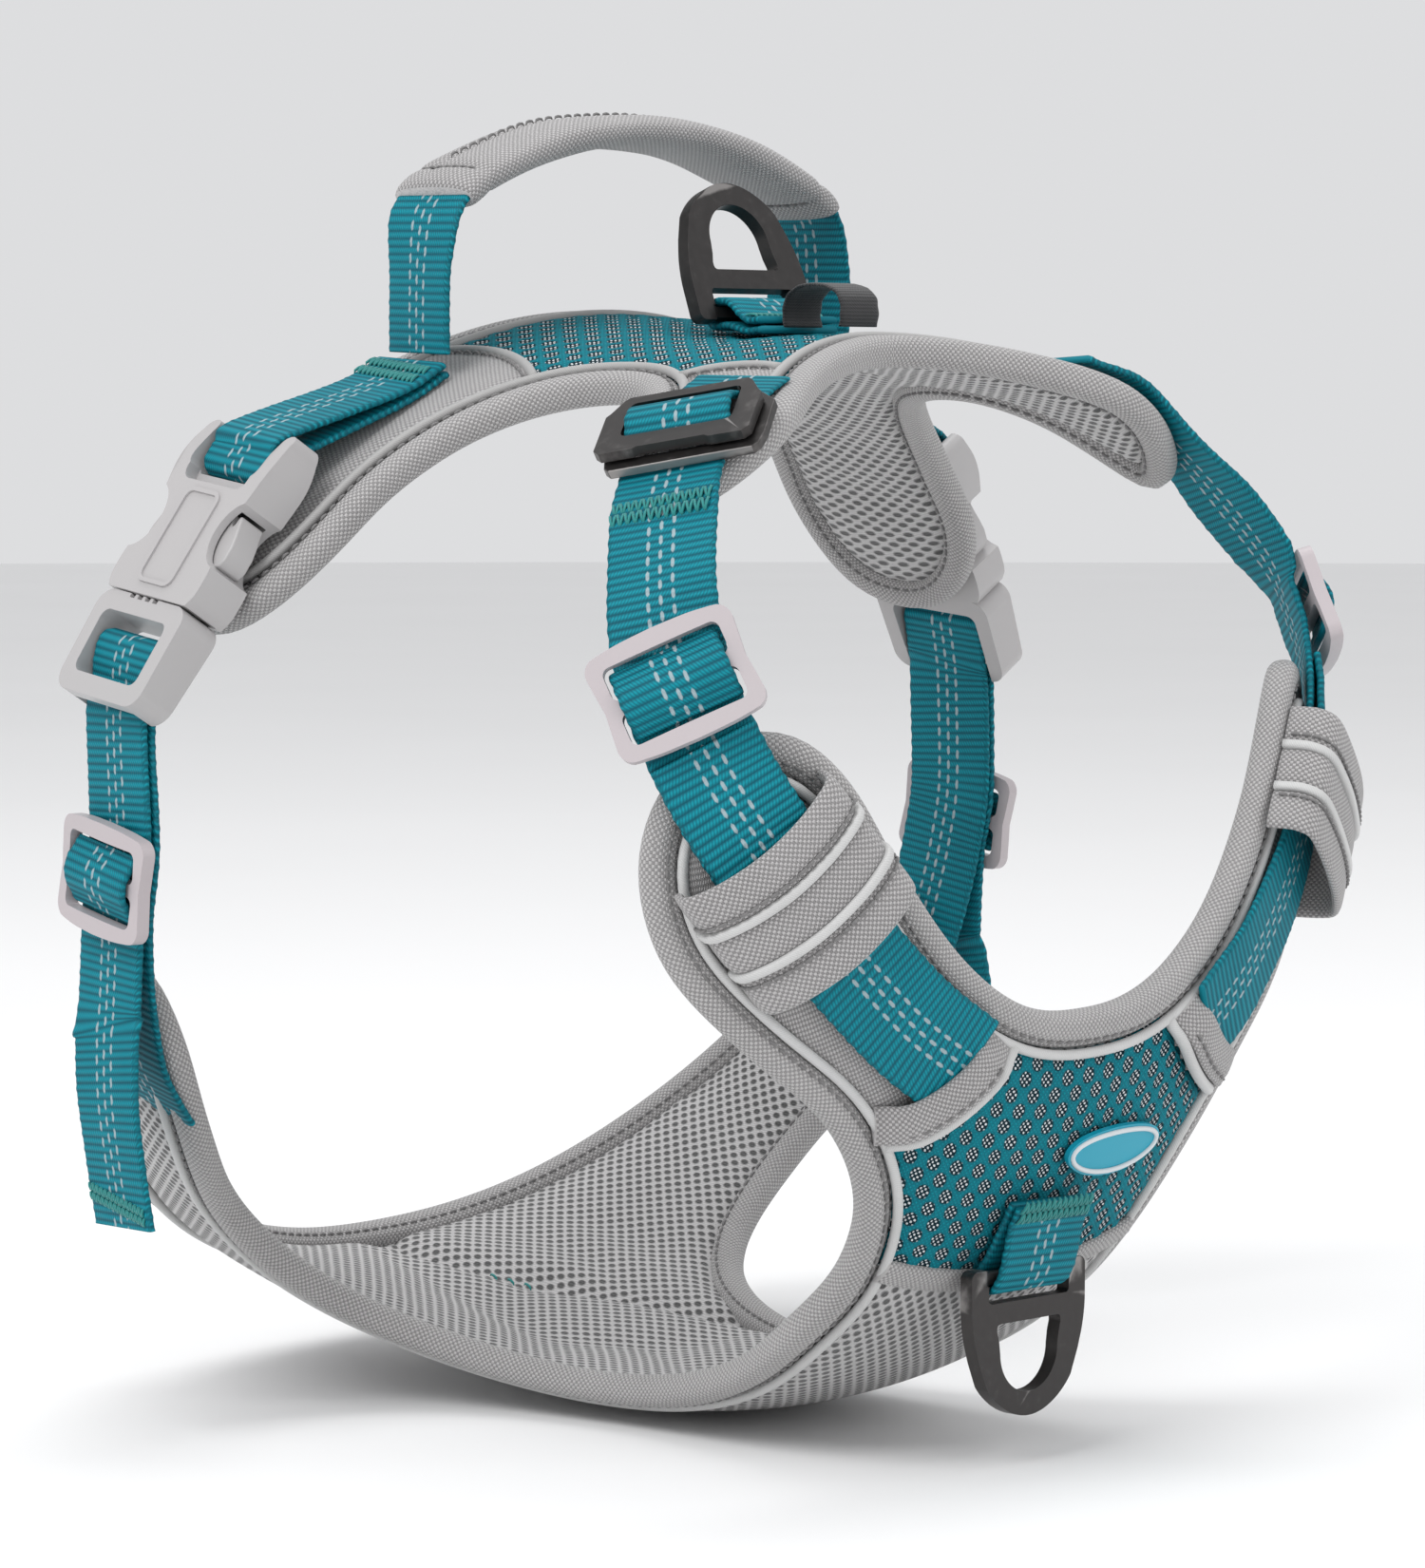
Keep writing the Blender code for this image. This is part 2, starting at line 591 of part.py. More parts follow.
def make_buckle(side, label):
    """Socket, plug and two sprung prongs of one side-release buckle."""
    place = buckle_frame(side)
    socket = plate("buckle_socket_" + label, [socket_outline()], SOCKET_THICK, place, PLASTIC_GREY)
    half_cavity = CAVITY_WIDTH / 2
    combine(socket, box("cavity", (-half_cavity, -1 * MM, -CAVITY_THICK / 2),
                        (half_cavity, CAVITY_DEPTH, CAVITY_THICK / 2), place, PLASTIC_GREY), "DIFFERENCE")
    for x in (-1, 1):
        low, high = sorted((x * 11.8 * MM, x * 25 * MM))
        combine(socket, box("window", (low, 11.2 * MM, -10 * MM), (high, 27.2 * MM, 10 * MM), place,
                            PLASTIC_GREY), "DIFFERENCE")
    combine(socket, rod("bar", (-14.5 * MM, SOCKET_BAR_Y, 0), (14.5 * MM, SOCKET_BAR_Y, 0), BAR_RADIUS,
                        place, PLASTIC_GREY), "UNION")
    dress(socket, PLASTIC_GREY)
    frame_outline = rounded_box(-7 * MM, 4 * MM, 7 * MM, 29 * MM, 2.5 * MM)
    inner_outline = rounded_box(-6 * MM, 5 * MM, 6 * MM, 28 * MM, 1.8 * MM)
    rim = plate("rim", [frame_outline, inner_outline], 1.0 * MM, place, PLASTIC_GREY, z=6.2 * MM)
    combine(socket, rim, "UNION")
    dress(socket, PLASTIC_GREY)

    half = BUCKLE_WIDTH / 2
    outline = rounded_box(-half, -PLUG_LENGTH, half, 0, 3 * MM)
    window = rounded_box(-13.4 * MM, -21 * MM, 13.4 * MM, -5.5 * MM, 1.5 * MM, 1)
    plug = plate("buckle_plug_" + label, [outline, window], 11 * MM, place, PLASTIC_GREY)
    combine(plug, box("underside", (-13.4 * MM, -30 * MM, -10 * MM), (13.4 * MM, -20 * MM, 1.2 * MM), place,
                      PLASTIC_GREY), "DIFFERENCE")
    combine(plug, rod("bar", (-14.5 * MM, PLUG_BAR_Y, 0), (14.5 * MM, PLUG_BAR_Y, 0), BAR_RADIUS, place,
                      PLASTIC_GREY), "UNION")
    combine(plug, box("tongue", (-3.5 * MM, -1 * MM, -3 * MM), (3.5 * MM, 20 * MM, 3 * MM), place,
                      PLASTIC_GREY), "UNION")
    dress(plug, PLASTIC_GREY)

    prong = [(7.5, 0.4), (11.5, 0.4), (12.2, 10.0), (13.5, 11.7), (17.0, 12.0), (17.4, 17.0), (15.6, 22.5),
             (12.5, 25.5), (10.0, 25.0), (9.0, 14.0), (7.5, 6.0)]
    for x, end in ((1, "a"), (-1, "b")):
        outline = [(x * px * MM, py * MM) for px, py in prong]
        plate("buckle_prong_" + label + "_" + end, [outline], PRONG_THICK, place, PLASTIC_GREY)


# ---------------------------------------------------------------- girth straps

def make_girth(side, label):
    """Webbing from the handle landing to the belly arm, with its slider and tail."""
    place = buckle_frame(side)
    wrap = WRAP_RADIUS
    t = GIRTH_T
    upper = surface_stations([(t, side * 28.5, PLY_2), (t, side * 34, PLY_2 + 0.6 * MM)])
    upper += local_stations(place, [(47 * MM, 2.0 * MM), (42.5 * MM, 2.9 * MM)])
    turn = [(SOCKET_BAR_Y + wrap * cos(a), wrap * sin(a)) for a in (radians(d) for d in range(80, 281, 40))]
    lower = local_stations(place, [(42.5 * MM, -3.4 * MM), (47 * MM, -4.6 * MM)])
    lower += surface_stations([(t, side * 34, PLY_1 + 0.2 * MM), (t, side * 28.5, PLY_1)])
    ribbon("buckle_webbing_" + label, eased(upper + local_stations(place, turn) + lower, 40), TEAL)

    angle = GIRTH_SLIDER_ANGLE
    inner = surface_stations([(t, side * (angle + 8), PLY_1), (t, side * angle, PLY_1),
                              (t, side * (angle - 4), PLY_1)])
    inner += local_stations(place, [(-27 * MM, -6.6 * MM), (-19 * MM, -4.4 * MM)])
    turn = [(PLUG_BAR_Y + wrap * cos(a), wrap * sin(a)) for a in (radians(d) for d in range(-100, 101, 40))]
    outer = local_stations(place, [(-16.5 * MM, 1.4 * MM), (-21 * MM, -1.4 * MM), (-27 * MM, -3.9 * MM)])
    outer += surface_stations([(t, side * (angle - 4), PLY_2), (t, side * angle, PLY_2),
                               (t, side * (angle + 8), PLY_2)])
    ribbon("girth_strap_" + label, eased(inner + local_stations(place, turn) + outer, 44), TEAL)

    belly = [(t, side * 99.8, PLY_1), (t, side * 104, PLY_1), (t, side * 109, PLY_1), (t, side * 117, PLY_1)]
    ribbon("belly_strap_" + label, eased(surface_stations(belly), 9), TEAL)

    across = tangents(t, side * angle)[0]
    drop = [(Vector((x, side * y, z)), across) for x, y, z in TAIL_POINTS]
    ribbon("girth_tail_" + label, eased(drop, 14), TEAL)
    make_slider("girth", t, side * angle, label)


def slider_splines(bow):
    """Outline and two slots of a strap slider; bow is how far its end bars swell."""
    half_w, half_l = SLIDER_WIDTH / 2, SLIDER_LENGTH / 2
    right = [(half_w - 3 * MM, -half_l), (half_w - 0.6 * MM, -half_l + 1.4 * MM), (half_w, -half_l + 5 * MM),
             (half_w - 1 * MM, 0), (half_w, half_l - 5 * MM), (half_w - 0.6 * MM, half_l - 1.4 * MM),
             (half_w - 3 * MM, half_l), (0, half_l + bow)]
    outline = right + [(-x, y) for x, y in reversed(right[:-1])] + [(0, -half_l - bow)]
    near, far = CENTRE_BAR / 2, CENTRE_BAR / 2 + SLOT_LENGTH
    slots = [rounded_box(-SLOT_WIDTH / 2, low, SLOT_WIDTH / 2, high, 1 * MM, 1)
             for low, high in ((near, far), (-far, -near))]
    return [outline] + slots


def make_slider(kind, t, angle, label, turn=0.0):
    """Strap slider and the hump of webbing that rides over its centre bar."""
    place = seat(t, angle, SLIDER_LIFT) @ Matrix.Rotation(radians(turn), 4, "Z")
    plate("{}_slider_{}".format(kind, label), slider_splines(1 * MM), SLIDER_THICK, place, PLASTIC_GREY)
    foot = PLY_TOP + GAP + WEB_THICK / 2 + 0.25 * MM - SLIDER_LIFT
    crown = SLIDER_THICK / 2 + GAP + WEB_THICK / 2 + 0.1 * MM
    half = [(-7.4 * MM, foot), (-6.2 * MM, foot + 0.7 * MM), (-4.0 * MM, crown - 1.0 * MM),
            (-2.0 * MM, crown + 0.1 * MM)]
    hump = half + [(0, crown + 0.25 * MM)] + [(-y, z) for y, z in reversed(half)]
    ribbon("{}_hump_{}".format(kind, label), local_stations(place, hump), TEAL)


# ---------------------------------------------------------------- neck straps

def make_neck(side, label):
    """Neck webbing from the back pad's front arm to the pocket on the chest arm."""
    top = 50.5 if side < 0 else 30.0
    t = NECK_T
    angles = [top, 0.6 * top + 28, 76, 89, 101, 112, 124, 136, 148, 158]
    shift = [-0.03, -0.015, 0, 0, 0, -0.005, -0.015, -0.03, -0.055, -0.075]
    lifts = [PLY_1 + (1.6 if side > 0 and a < 52 else 0.4) * MM for a in angles]
    places = [(t + dt, side * a, lift) for dt, a, lift in zip(shift, angles, lifts)]
    ribbon("neck_strap_" + label, eased(surface_stations(places), 22), TEAL)
    ends = ((0, 99.2, 0.4), (0.002, 106, 0.5), (0.006, 114, 0.8), (0.012, 121, 0.9))
    tail = [(t - dt, side * a, PLY_2 + lift * MM) for dt, a, lift in ends]
    ribbon("neck_tail_" + label, eased(surface_stations(tail), 6), TEAL)
    make_slider("neck", t, side * NECK_SLIDER_ANGLE, label, turn=-7.0 * side)
    make_keeper(side, label)


def make_keeper(side, label):
    """Sewn band that holds the neck webbing down on the chest arm."""
    height = 11.5 if side > 0 else 7.8
    arch = [(-20.4, 1.4), (-19.8, 0.5 * height), (-17.2, height - 1.2), (-10, height - 0.3), (0, height)]
    arch += [(-x, z) for x, z in reversed(arch[:-1])]
    middle = (KEEPER_PLACE[0], side * KEEPER_PLACE[1])
    run = torso(middle[0] - 0.012, middle[1] + side * 10) - torso(middle[0] + 0.012, middle[1] - side * 10)
    beside = outward(*middle).cross(run).normalized()
    stations = []
    for offset, lift in arch:
        dt, turn = place_step(*middle, beside * (offset * MM))
        stations.append((on_torso(middle[0] + dt, middle[1] + turn, lift * MM), run))
    ribbon("neck_keeper_" + label, eased(stations, 17), GREY_WOVEN, width=33 * MM, thick=1.4 * MM)


def neck_hook_seat():
    """Seat of the metal hook plate on the right neck webbing."""
    return seat(0.985, -43.5, 6.6 * MM) @ Matrix.Rotation(NECK_BUCKLE_TILT, 4, "Z")


def make_neck_buckle():
    """Two interlocking metal plates on the right neck strap and the webbing they join."""
    hook_seat = neck_hook_seat()
    outline = [(-18.5, -9.5), (-16.5, -11), (16.5, -11), (18.5, -9.5), (18.5, 4), (14.5, 10), (-14.5, 10),
               (-18.5, 4)]
    window = rounded_box(-13.2 * MM, -5.5 * MM, 13.2 * MM, 7.4 * MM, 1 * MM, 1)
    outline = [(x * MM, y * MM) for x, y in outline]
    hook = plate("neck_buckle_hook", [outline, window], 2.4 * MM, hook_seat, GUNMETAL)
    combine(hook, box("bar", (-14 * MM, -0.4 * MM, -1.1 * MM), (14 * MM, 2.0 * MM, 0.7 * MM), hook_seat,
                      GUNMETAL), "UNION")
    dress(hook, GUNMETAL)
    hump = [(6.4, -0.2), (5.4, 0.2), (3.4, 1.9), (0.8, 2.6), (-1.8, 1.9), (-3.8, 0.2), (-4.6, -0.2)]
    ribbon("neck_buckle_hump", local_stations(hook_seat, [(y * MM, z * MM) for y, z in hump]), TEAL)

    base_seat = seat(1.005, -45.0, 3.6 * MM) @ Matrix.Rotation(NECK_BUCKLE_TILT, 4, "Z")
    frame_outline = [(-18, -11), (18, -11), (19, -6), (19, 6), (15, 10), (-15, 10), (-19, 6), (-19, -6)]
    opening = rounded_box(-13.4 * MM, -7.2 * MM, 13.4 * MM, 6.5 * MM, 1 * MM, 1)
    plate("neck_buckle_base", [[(x * MM, y * MM) for x, y in frame_outline], opening], 2.2 * MM, base_seat,
          GUNMETAL)
    feed = [(0.97, -27.5, 0.9 * MM), (0.97, -31, 0.9 * MM), (0.97, -34.5, 1.0 * MM)]
    ribbon("neck_buckle_webbing", eased(surface_stations(feed), 4), TEAL, thick=1.2 * MM)


# ---------------------------------------------------------------- leash rings, tab and badge

def ring_splines():
    """Outline, D-shaped hole and webbing slot of a leash ring."""
    right = [(14.0, -RING_BAR / MM), (14.0, -2.0), (17.5, -2.0), (19.0, -0.5), (19.0, 4.0), (18.2, 11.0)]
    crown = arc((0, 18.5), 14.0, 18, 162, 12)
    left = [(-x, y) for x, y in reversed(right)]
    outline = [(x * MM, y * MM) for x, y in right + crown + left]
    hole = arc((0, 17.4), 9.6, 0, 180, 10)
    hole = [(x * MM, y * MM) for x, y in hole + [(-10.6, 12.0), (-9.4, 10.6), (9.4, 10.6), (10.6, 12.0)]]
    slot = rounded_box(-13.4 * MM, RING_BAR, 13.4 * MM, 5.8 * MM, 0.6 * MM, 1)
    return [outline, hole, slot]


def ring_frame(origin, lean, crown_down=False):
    """Frame on a ring's hinge axis: x along the dog's left-right line, y to the crown."""
    turn = Matrix.Rotation(lean, 4, "Y")
    upright = Matrix(((0, 0, 1), (1, 0, 0), (0, 1, 0))).to_4x4()
    if crown_down:
        turn = turn @ Matrix.Rotation(pi, 4, "Y")
    return Matrix.Translation(origin) @ turn @ upright


def make_ring(name, origin, lean, crown_down):
    """Stamped leash ring whose base bar is thinner than the plate."""
    place = ring_frame(origin, lean, crown_down)
    ring = plate(name, ring_splines(), RING_THICK, place, GUNMETAL)
    for z in (-1, 1):
        low, high = sorted((z * RING_BAR, z * 5 * MM))
        combine(ring, box("relief", (-14 * MM, -4 * MM, low), (14 * MM, RING_BAR + 0.4 * MM, high), place,
                          GUNMETAL), "DIFFERENCE")
    dress(ring, GUNMETAL)


def make_leash_points():
    """Back and chest leash rings in their sewn webbing loops."""
    y_across = Vector((0, 1, 0))
    axis = on_torso(TOP_RING_T, 0, RING_AXIS_LIFT)
    make_ring("top_leash_ring", axis, TOP_RING_LEAN, False)
    r = RING_WRAP
    turn = [axis + Vector((r * cos(a), 0, r * sin(a))) for a in (radians(d) for d in range(100, 261, 40))]
    over = [on_torso(0.66, 0, PLY_2), on_torso(0.60, 0, PLY_2 + 0.4 * MM), axis + Vector((4 * MM, 0, 2.6 * MM))]
    under = [axis + Vector((4 * MM, 0, -2.7 * MM)), on_torso(0.60, 0, PLY_1), on_torso(0.66, 0, PLY_1)]
    ribbon("top_leash_loop", eased([(p, y_across) for p in over + turn + under], 22), TEAL)

    angle = CHEST_RING_ANGLE
    axis = on_torso(CHEST_RING_T, angle, RING_AXIS_LIFT)
    make_ring("chest_leash_ring", axis, 0.0, True)
    up = (torso(0.80, angle) - torso(0.74, angle)).normalized()
    out = outward(CHEST_RING_T, angle)
    turn = [axis + up * (r * cos(a)) + out * (r * sin(a)) for a in (radians(d) for d in range(100, 261, 40))]
    over = [on_torso(0.822, angle, PLY_2), on_torso(0.80, angle, PLY_2 + 0.2 * MM),
            axis + up * (4 * MM) + out * (2.6 * MM)]
    under = [axis + up * (4 * MM) - out * (2.7 * MM), on_torso(0.80, angle, PLY_1),
             on_torso(0.822, angle, PLY_1)]
    ribbon("chest_leash_loop", eased([(p, y_across) for p in over + turn + under], 22), TEAL)


def make_trim():
    """Black ribbon tab behind the neck and the oval badge on the breast plate."""
    y_across = Vector((0, 1, 0))
    base = on_torso(0.775, 0, 0.0)
    arch = [(-9.0, 1.2), (-9.6, 4.0), (-8.6, 8.0), (-5.0, 10.4), (0.0, 10.9), (5.0, 10.2), (8.4, 8.0),
            (9.2, 4.0), (8.6, 1.2)]
    stations = [(base + Vector((x * MM, 0, z * MM)), y_across) for x, z in arch]
    ribbon("label_tab", eased(stations, 14), BLACK, width=12.5 * MM, thick=0.9 * MM)
    panel("chest_badge", badge_outline(24), BADGE_LIFTS, 7 * MM, BADGE_BLUE)


def badge_outline(count):
    """Oval of (t, angle) places round the badge's middle on the breast plate."""
    t, angle = BADGE_PLACE
    along, around = tangents(t, angle)
    across = around.normalized()
    up = outward(t, angle).cross(across)
    lean_across, lean_up = cos(BADGE_LEAN), sin(BADGE_LEAN)
    oval = []
    for i in range(count):
        turn = 2 * pi * i / count
        x, y = BADGE_HALF_LENGTH * cos(turn), BADGE_HALF_HEIGHT * sin(turn)
        step = across * (x * lean_across - y * lean_up) + up * (x * lean_up + y * lean_across)
        dt, da = place_step(t, angle, step)
        oval.append(Vector((t + dt, angle + da)))
    return oval


# ---------------------------------------------------------------- handle

def handle_line(count):
    half = [Vector((HANDLE_X + HANDLE_LEAN * z * MM, y * MM, z * MM)) for y, z in HANDLE_POINTS]
    other = [Vector((p.x, -p.y, p.z)) for p in reversed(half[:-1])]
    return even_path(smooth_path(half + other, 8), count)


def leg_across(point):
    """Direction across the handle webbing: the legs are twisted slightly below the arch."""
    twist = HANDLE_TWIST * max(0.0, min(1.0, (0.030 - point.z) / 0.015))
    return Vector((cos(twist), sin(twist) * (1 if point.y > 0 else -1), 0))


def make_handle():
    """Webbing handle with a padded sleeve over its arch."""
    line = handle_line(57)
    across = Vector((1, 0, 0))
    ribbon("handle_webbing", [(p, leg_across(p)) for p in line], TEAL)
    arch = [p for p in line if abs(p.y) < SLEEVE_START and p.z > 0.030]
    bm = bmesh.new()
    rings = []
    for i, p in enumerate(arch):
        run = (arch[min(i + 1, len(arch) - 1)] - arch[max(i - 1, 0)]).normalized()
        normal = run.cross(across).normalized()
        outer = rounded_box(-SLEEVE_WIDTH / 2, -SLEEVE_THICK / 2, SLEEVE_WIDTH / 2, SLEEVE_THICK / 2,
                            SLEEVE_THICK * 0.47, 2)
        half_w, half_t = WEB_WIDTH / 2 + GAP, WEB_THICK / 2 + GAP
        slot = [(half_w, -half_t), (half_w, half_t), (-half_w, half_t), (-half_w, -half_t)]
        rings.append([[bm.verts.new(p + across * a + normal * n) for a, n in shape] for shape in (outer, slot)])
    for first, second in zip(rings, rings[1:]):
        for shape in (0, 1):
            a, b = first[shape], second[shape]
            for k in range(len(a)):
                bm.faces.new((a[k], a[(k + 1) % len(a)], b[(k + 1) % len(a)], b[k]))
    for outer, slot in (rings[0], rings[-1]):
        edges = []
        for shape in (outer, slot):
            edges += [bm.edges.get((shape[k], shape[(k + 1) % len(shape)])) for k in range(len(shape))]
        bmesh.ops.triangle_fill(bm, edges=edges, use_beauty=True)
    finish_mesh("handle_sleeve", bm, GREY_WOVEN, smooth_angle=50)


# ---------------------------------------------------------------- origins on the joints

def set_origin(name, point):
    """Moves an object's origin to a place, and leaves its shape where it is."""
    obj = bpy.data.objects[name]
    shift = obj.matrix_world.inverted() @ Vector(point)
    obj.data.transform(Matrix.Translation(-shift))
    obj.matrix_world = obj.matrix_world @ Matrix.Translation(shift)


def set_origins():
    """Puts the origins of the hinged pieces on their hinge lines."""
    for side, label in ((-1, "right"), (1, "left")):
        for x, end in ((1, "a"), (-1, "b")):
            pivot = buckle_frame(side) @ Vector((x * PRONG_PIVOT[0], PRONG_PIVOT[1], 0))
            set_origin("buckle_prong_" + label + "_" + end, pivot)
    for name in ("neck_buckle_hook", "neck_buckle_hump"):
        set_origin(name, neck_hook_seat() @ Vector(NECK_HOOK_PIVOT))
    for name in ("handle_webbing", "handle_sleeve"):
        set_origin(name, HANDLE_PIVOT)


# ---------------------------------------------------------------- build

for old in list(bpy.data.objects):
    bpy.data.objects.remove(old)
PARTS = bpy.data.collections.new("dog_harness")
bpy.context.scene.collection.children.link(PARTS)

make_panels()
for dog_side, side_label in ((-1, "right"), (1, "left")):
    make_buckle(dog_side, side_label)
    make_girth(dog_side, side_label)
    make_neck(dog_side, side_label)
make_neck_buckle()
make_leash_points()
make_trim()
make_handle()
bpy.context.view_layer.update()
set_origins()
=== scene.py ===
"""Looks of the padded dog harness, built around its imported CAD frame.

Everything is in metres in the row frame: +X to the dog's head, +Y to its left, +Z up.
A place on the worn shape is (t, angle, lift), as in the CAD source: t runs from the girth
loop to the neck loop, the angle runs from the spine round the dog's left to the belly, and
the lift is the height above the pads' outer face.
"""
from contextlib import contextmanager
from math import cos, pi, radians, sin

import bmesh
import bpy
import numpy as np
from mathutils import Matrix, Vector
from mathutils.geometry import delaunay_2d_cdt


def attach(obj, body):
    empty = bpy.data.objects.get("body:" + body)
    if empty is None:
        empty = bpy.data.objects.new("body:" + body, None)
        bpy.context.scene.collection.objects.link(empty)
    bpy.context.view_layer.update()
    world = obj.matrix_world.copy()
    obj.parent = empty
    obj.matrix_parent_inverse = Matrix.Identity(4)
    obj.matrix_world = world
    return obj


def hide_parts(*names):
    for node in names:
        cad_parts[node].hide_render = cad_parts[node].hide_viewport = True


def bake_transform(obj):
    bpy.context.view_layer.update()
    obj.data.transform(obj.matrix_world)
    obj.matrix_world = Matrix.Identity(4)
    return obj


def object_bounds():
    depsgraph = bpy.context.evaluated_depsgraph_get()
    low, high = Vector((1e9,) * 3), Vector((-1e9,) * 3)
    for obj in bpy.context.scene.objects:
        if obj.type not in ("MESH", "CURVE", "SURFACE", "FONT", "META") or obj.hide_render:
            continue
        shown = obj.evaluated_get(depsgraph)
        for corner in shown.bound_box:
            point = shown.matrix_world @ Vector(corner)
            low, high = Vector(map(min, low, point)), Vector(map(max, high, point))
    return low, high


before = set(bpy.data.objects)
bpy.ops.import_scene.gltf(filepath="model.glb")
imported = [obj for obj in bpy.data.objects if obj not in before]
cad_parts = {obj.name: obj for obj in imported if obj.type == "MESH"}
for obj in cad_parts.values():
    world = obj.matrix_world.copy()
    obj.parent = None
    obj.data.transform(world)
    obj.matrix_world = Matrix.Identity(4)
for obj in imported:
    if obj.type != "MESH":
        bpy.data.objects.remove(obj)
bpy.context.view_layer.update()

MM = 0.001
SIDES = ((-1, "right"), (1, "left"))

# ---------------------------------------------------------------- driving sizes, as in the CAD

GIRTH_OVAL = ((-0.076, 0, -0.119), 0.135, 0.129, radians(12.3), 0.0)
SHOULDER_OVAL = ((0.044, 0, -0.143), 0.150, 0.152, radians(-16.0), 0.0)
NECK_OVAL = ((0.078, 0, -0.075), 0.105, 0.081, radians(-21.4), radians(2.5))
STITCH_DIP = (0.56, 0.0, 0.15, 13.0, 2.5 * MM)

WEB_WIDTH, WEB_THICK = 25 * MM, 1.7 * MM
PLY_1 = 1.25 * MM
PLY_2 = PLY_1 + WEB_THICK + 0.6 * MM
PLY_TOP = PLY_2 + WEB_THICK / 2
RIB_PITCH = 1.8 * MM
BINDING_RADIUS, PIPING_RADIUS = 3.9 * MM, 1.1 * MM
PIPING_INSET = 2 * BINDING_RADIUS + 0.3 * MM + PIPING_RADIUS

BACK_OUTLINE = [
    (1.00, 0), (1.04, 10), (1.10, 22), (1.15, 33), (1.17, 44), (1.12, 53), (1.00, 56),
    (0.90, 53), (0.84, 44), (0.79, 34), (0.70, 27), (0.57, 25.5), (0.44, 28), (0.33, 34),
    (0.25, 43), (0.21, 52), (0.15, 59), (0.06, 64), (-0.05, 64), (-0.12, 59), (-0.16, 50),
    (-0.15, 38), (-0.12, 25), (-0.10, 12), (-0.09, 0)]
CHEST_OUTLINE = [
    (0.995, 180), (1.00, 168), (1.03, 155), (1.08, 141), (1.12, 128), (1.12, 115), (1.07, 104),
    (0.97, 98), (0.885, 102), (0.845, 113), (0.85, 129), (0.845, 143), (0.79, 152.5), (0.70, 157),
    (0.58, 158.5), (0.45, 161.5), (0.32, 163), (0.20, 160.5), (0.115, 155), (0.07, 146), (0.058, 133),
    (0.08, 120), (0.085, 109), (0.05, 102), (-0.01, 102), (-0.045, 109), (-0.065, 120),
    (-0.085, 134), (-0.10, 150), (-0.11, 166), (-0.115, 180)]
CHEST_SEAM = ((0.80, 146.0), (1.06, 177.0))
CHEST_HEM_T = 0.72

BUCKLE_T, BUCKLE_ANGLE, BUCKLE_LIFT, PARTING_DROP = 0.02, 60.5, 7.4 * MM, 10 * MM
SOCKET_BAR_Y, PLUG_BAR_Y = 38 * MM, -11.5 * MM
BAR_RADIUS = 1.6 * MM
WRAP_RADIUS = BAR_RADIUS + 0.6 * MM + WEB_THICK / 2
TAIL_POINTS = [(-0.0694, 0.1388, -0.1478), (-0.0690, 0.1396, -0.153), (-0.0682, 0.1410, -0.160),
               (-0.0668, 0.1420, -0.174), (-0.0656, 0.1408, -0.189), (-0.0648, 0.1388, -0.2035)]
GIRTH_T, GIRTH_SLIDER_ANGLE = 0.045, 91.0
NECK_T, NECK_SLIDER_ANGLE = 1.02, 89.5
SLIDER_THICK = 3.0 * MM
SLIDER_LIFT = PLY_TOP + 0.3 * MM + SLIDER_THICK / 2
KEEPER_PLACE = (1.0, 125.0)
BADGE_PLACE, BADGE_LEAN = (0.862, 173.0), radians(-6)
RING_BAR, RING_THICK = 1.3 * MM, 3.6 * MM
RING_AXIS_LIFT, RING_WRAP = 4.2 * MM, 3.0 * MM
TOP_RING_T, TOP_RING_LEAN = 0.485, radians(-20.0)
CHEST_RING_T, CHEST_RING_ANGLE = 0.745, 182.0
HANDLE_X, HANDLE_LEAN, HANDLE_TWIST = -0.046, 0.03, radians(9)
HANDLE_POINTS = [(-64.5, -3.5), (-64.8, 8), (-64.6, 20), (-63, 29.5), (-57, 35.5), (-46, 40.8), (-31, 46.0),
                 (-16, 49.0), (0, 50)]


# ---------------------------------------------------------------- torso surface

def oval_point(oval, angle):
    centre, half_width, half_height, tilt, roll = oval
    up = np.array((sin(tilt), 0, cos(tilt)))
    left = np.array((0.0, 1.0, 0.0))
    up, left = up * cos(roll) - left * sin(roll), left * cos(roll) + up * sin(roll)
    return (np.array(centre) + left * (half_width * np.sin(angle))[..., None]
            + up * (half_height * np.cos(angle))[..., None])


def torso(t, angle):
    """Points of the worn shape, for numbers or arrays of them."""
    t, angle = np.asarray(t, float), np.asarray(angle, float)
    a = np.radians(angle)
    girth, shoulder, neck = (oval_point(o, a) for o in (GIRTH_OVAL, SHOULDER_OVAL, NECK_OVAL))
    s = t[..., None]
    point = girth * (1 - s) ** 2 + shoulder * (2 * s * (1 - s)) + neck * s ** 2
    dip_t, dip_angle, spread_t, spread_angle, depth = STITCH_DIP
    off = ((t - dip_t) / spread_t) ** 2 + ((angle - dip_angle) / spread_angle) ** 2
    point[..., 2] -= depth * np.exp(-off)
    return point


def tangents(t, angle):
    along = (torso(np.add(t, 1e-3), angle) - torso(np.subtract(t, 1e-3), angle)) / 2e-3
    around = (torso(t, np.add(angle, 0.1)) - torso(t, np.subtract(angle, 0.1))) / 0.2
    return along, around


def unit(v):
    return v / np.maximum(np.linalg.norm(v, axis=-1, keepdims=True), 1e-12)


def outward(t, angle):
    along, around = tangents(t, angle)
    return unit(np.cross(along, around))


def on_torso(t, angle, lift=0.0):
    return torso(t, angle) + outward(t, angle) * np.asarray(lift, float)[..., None]


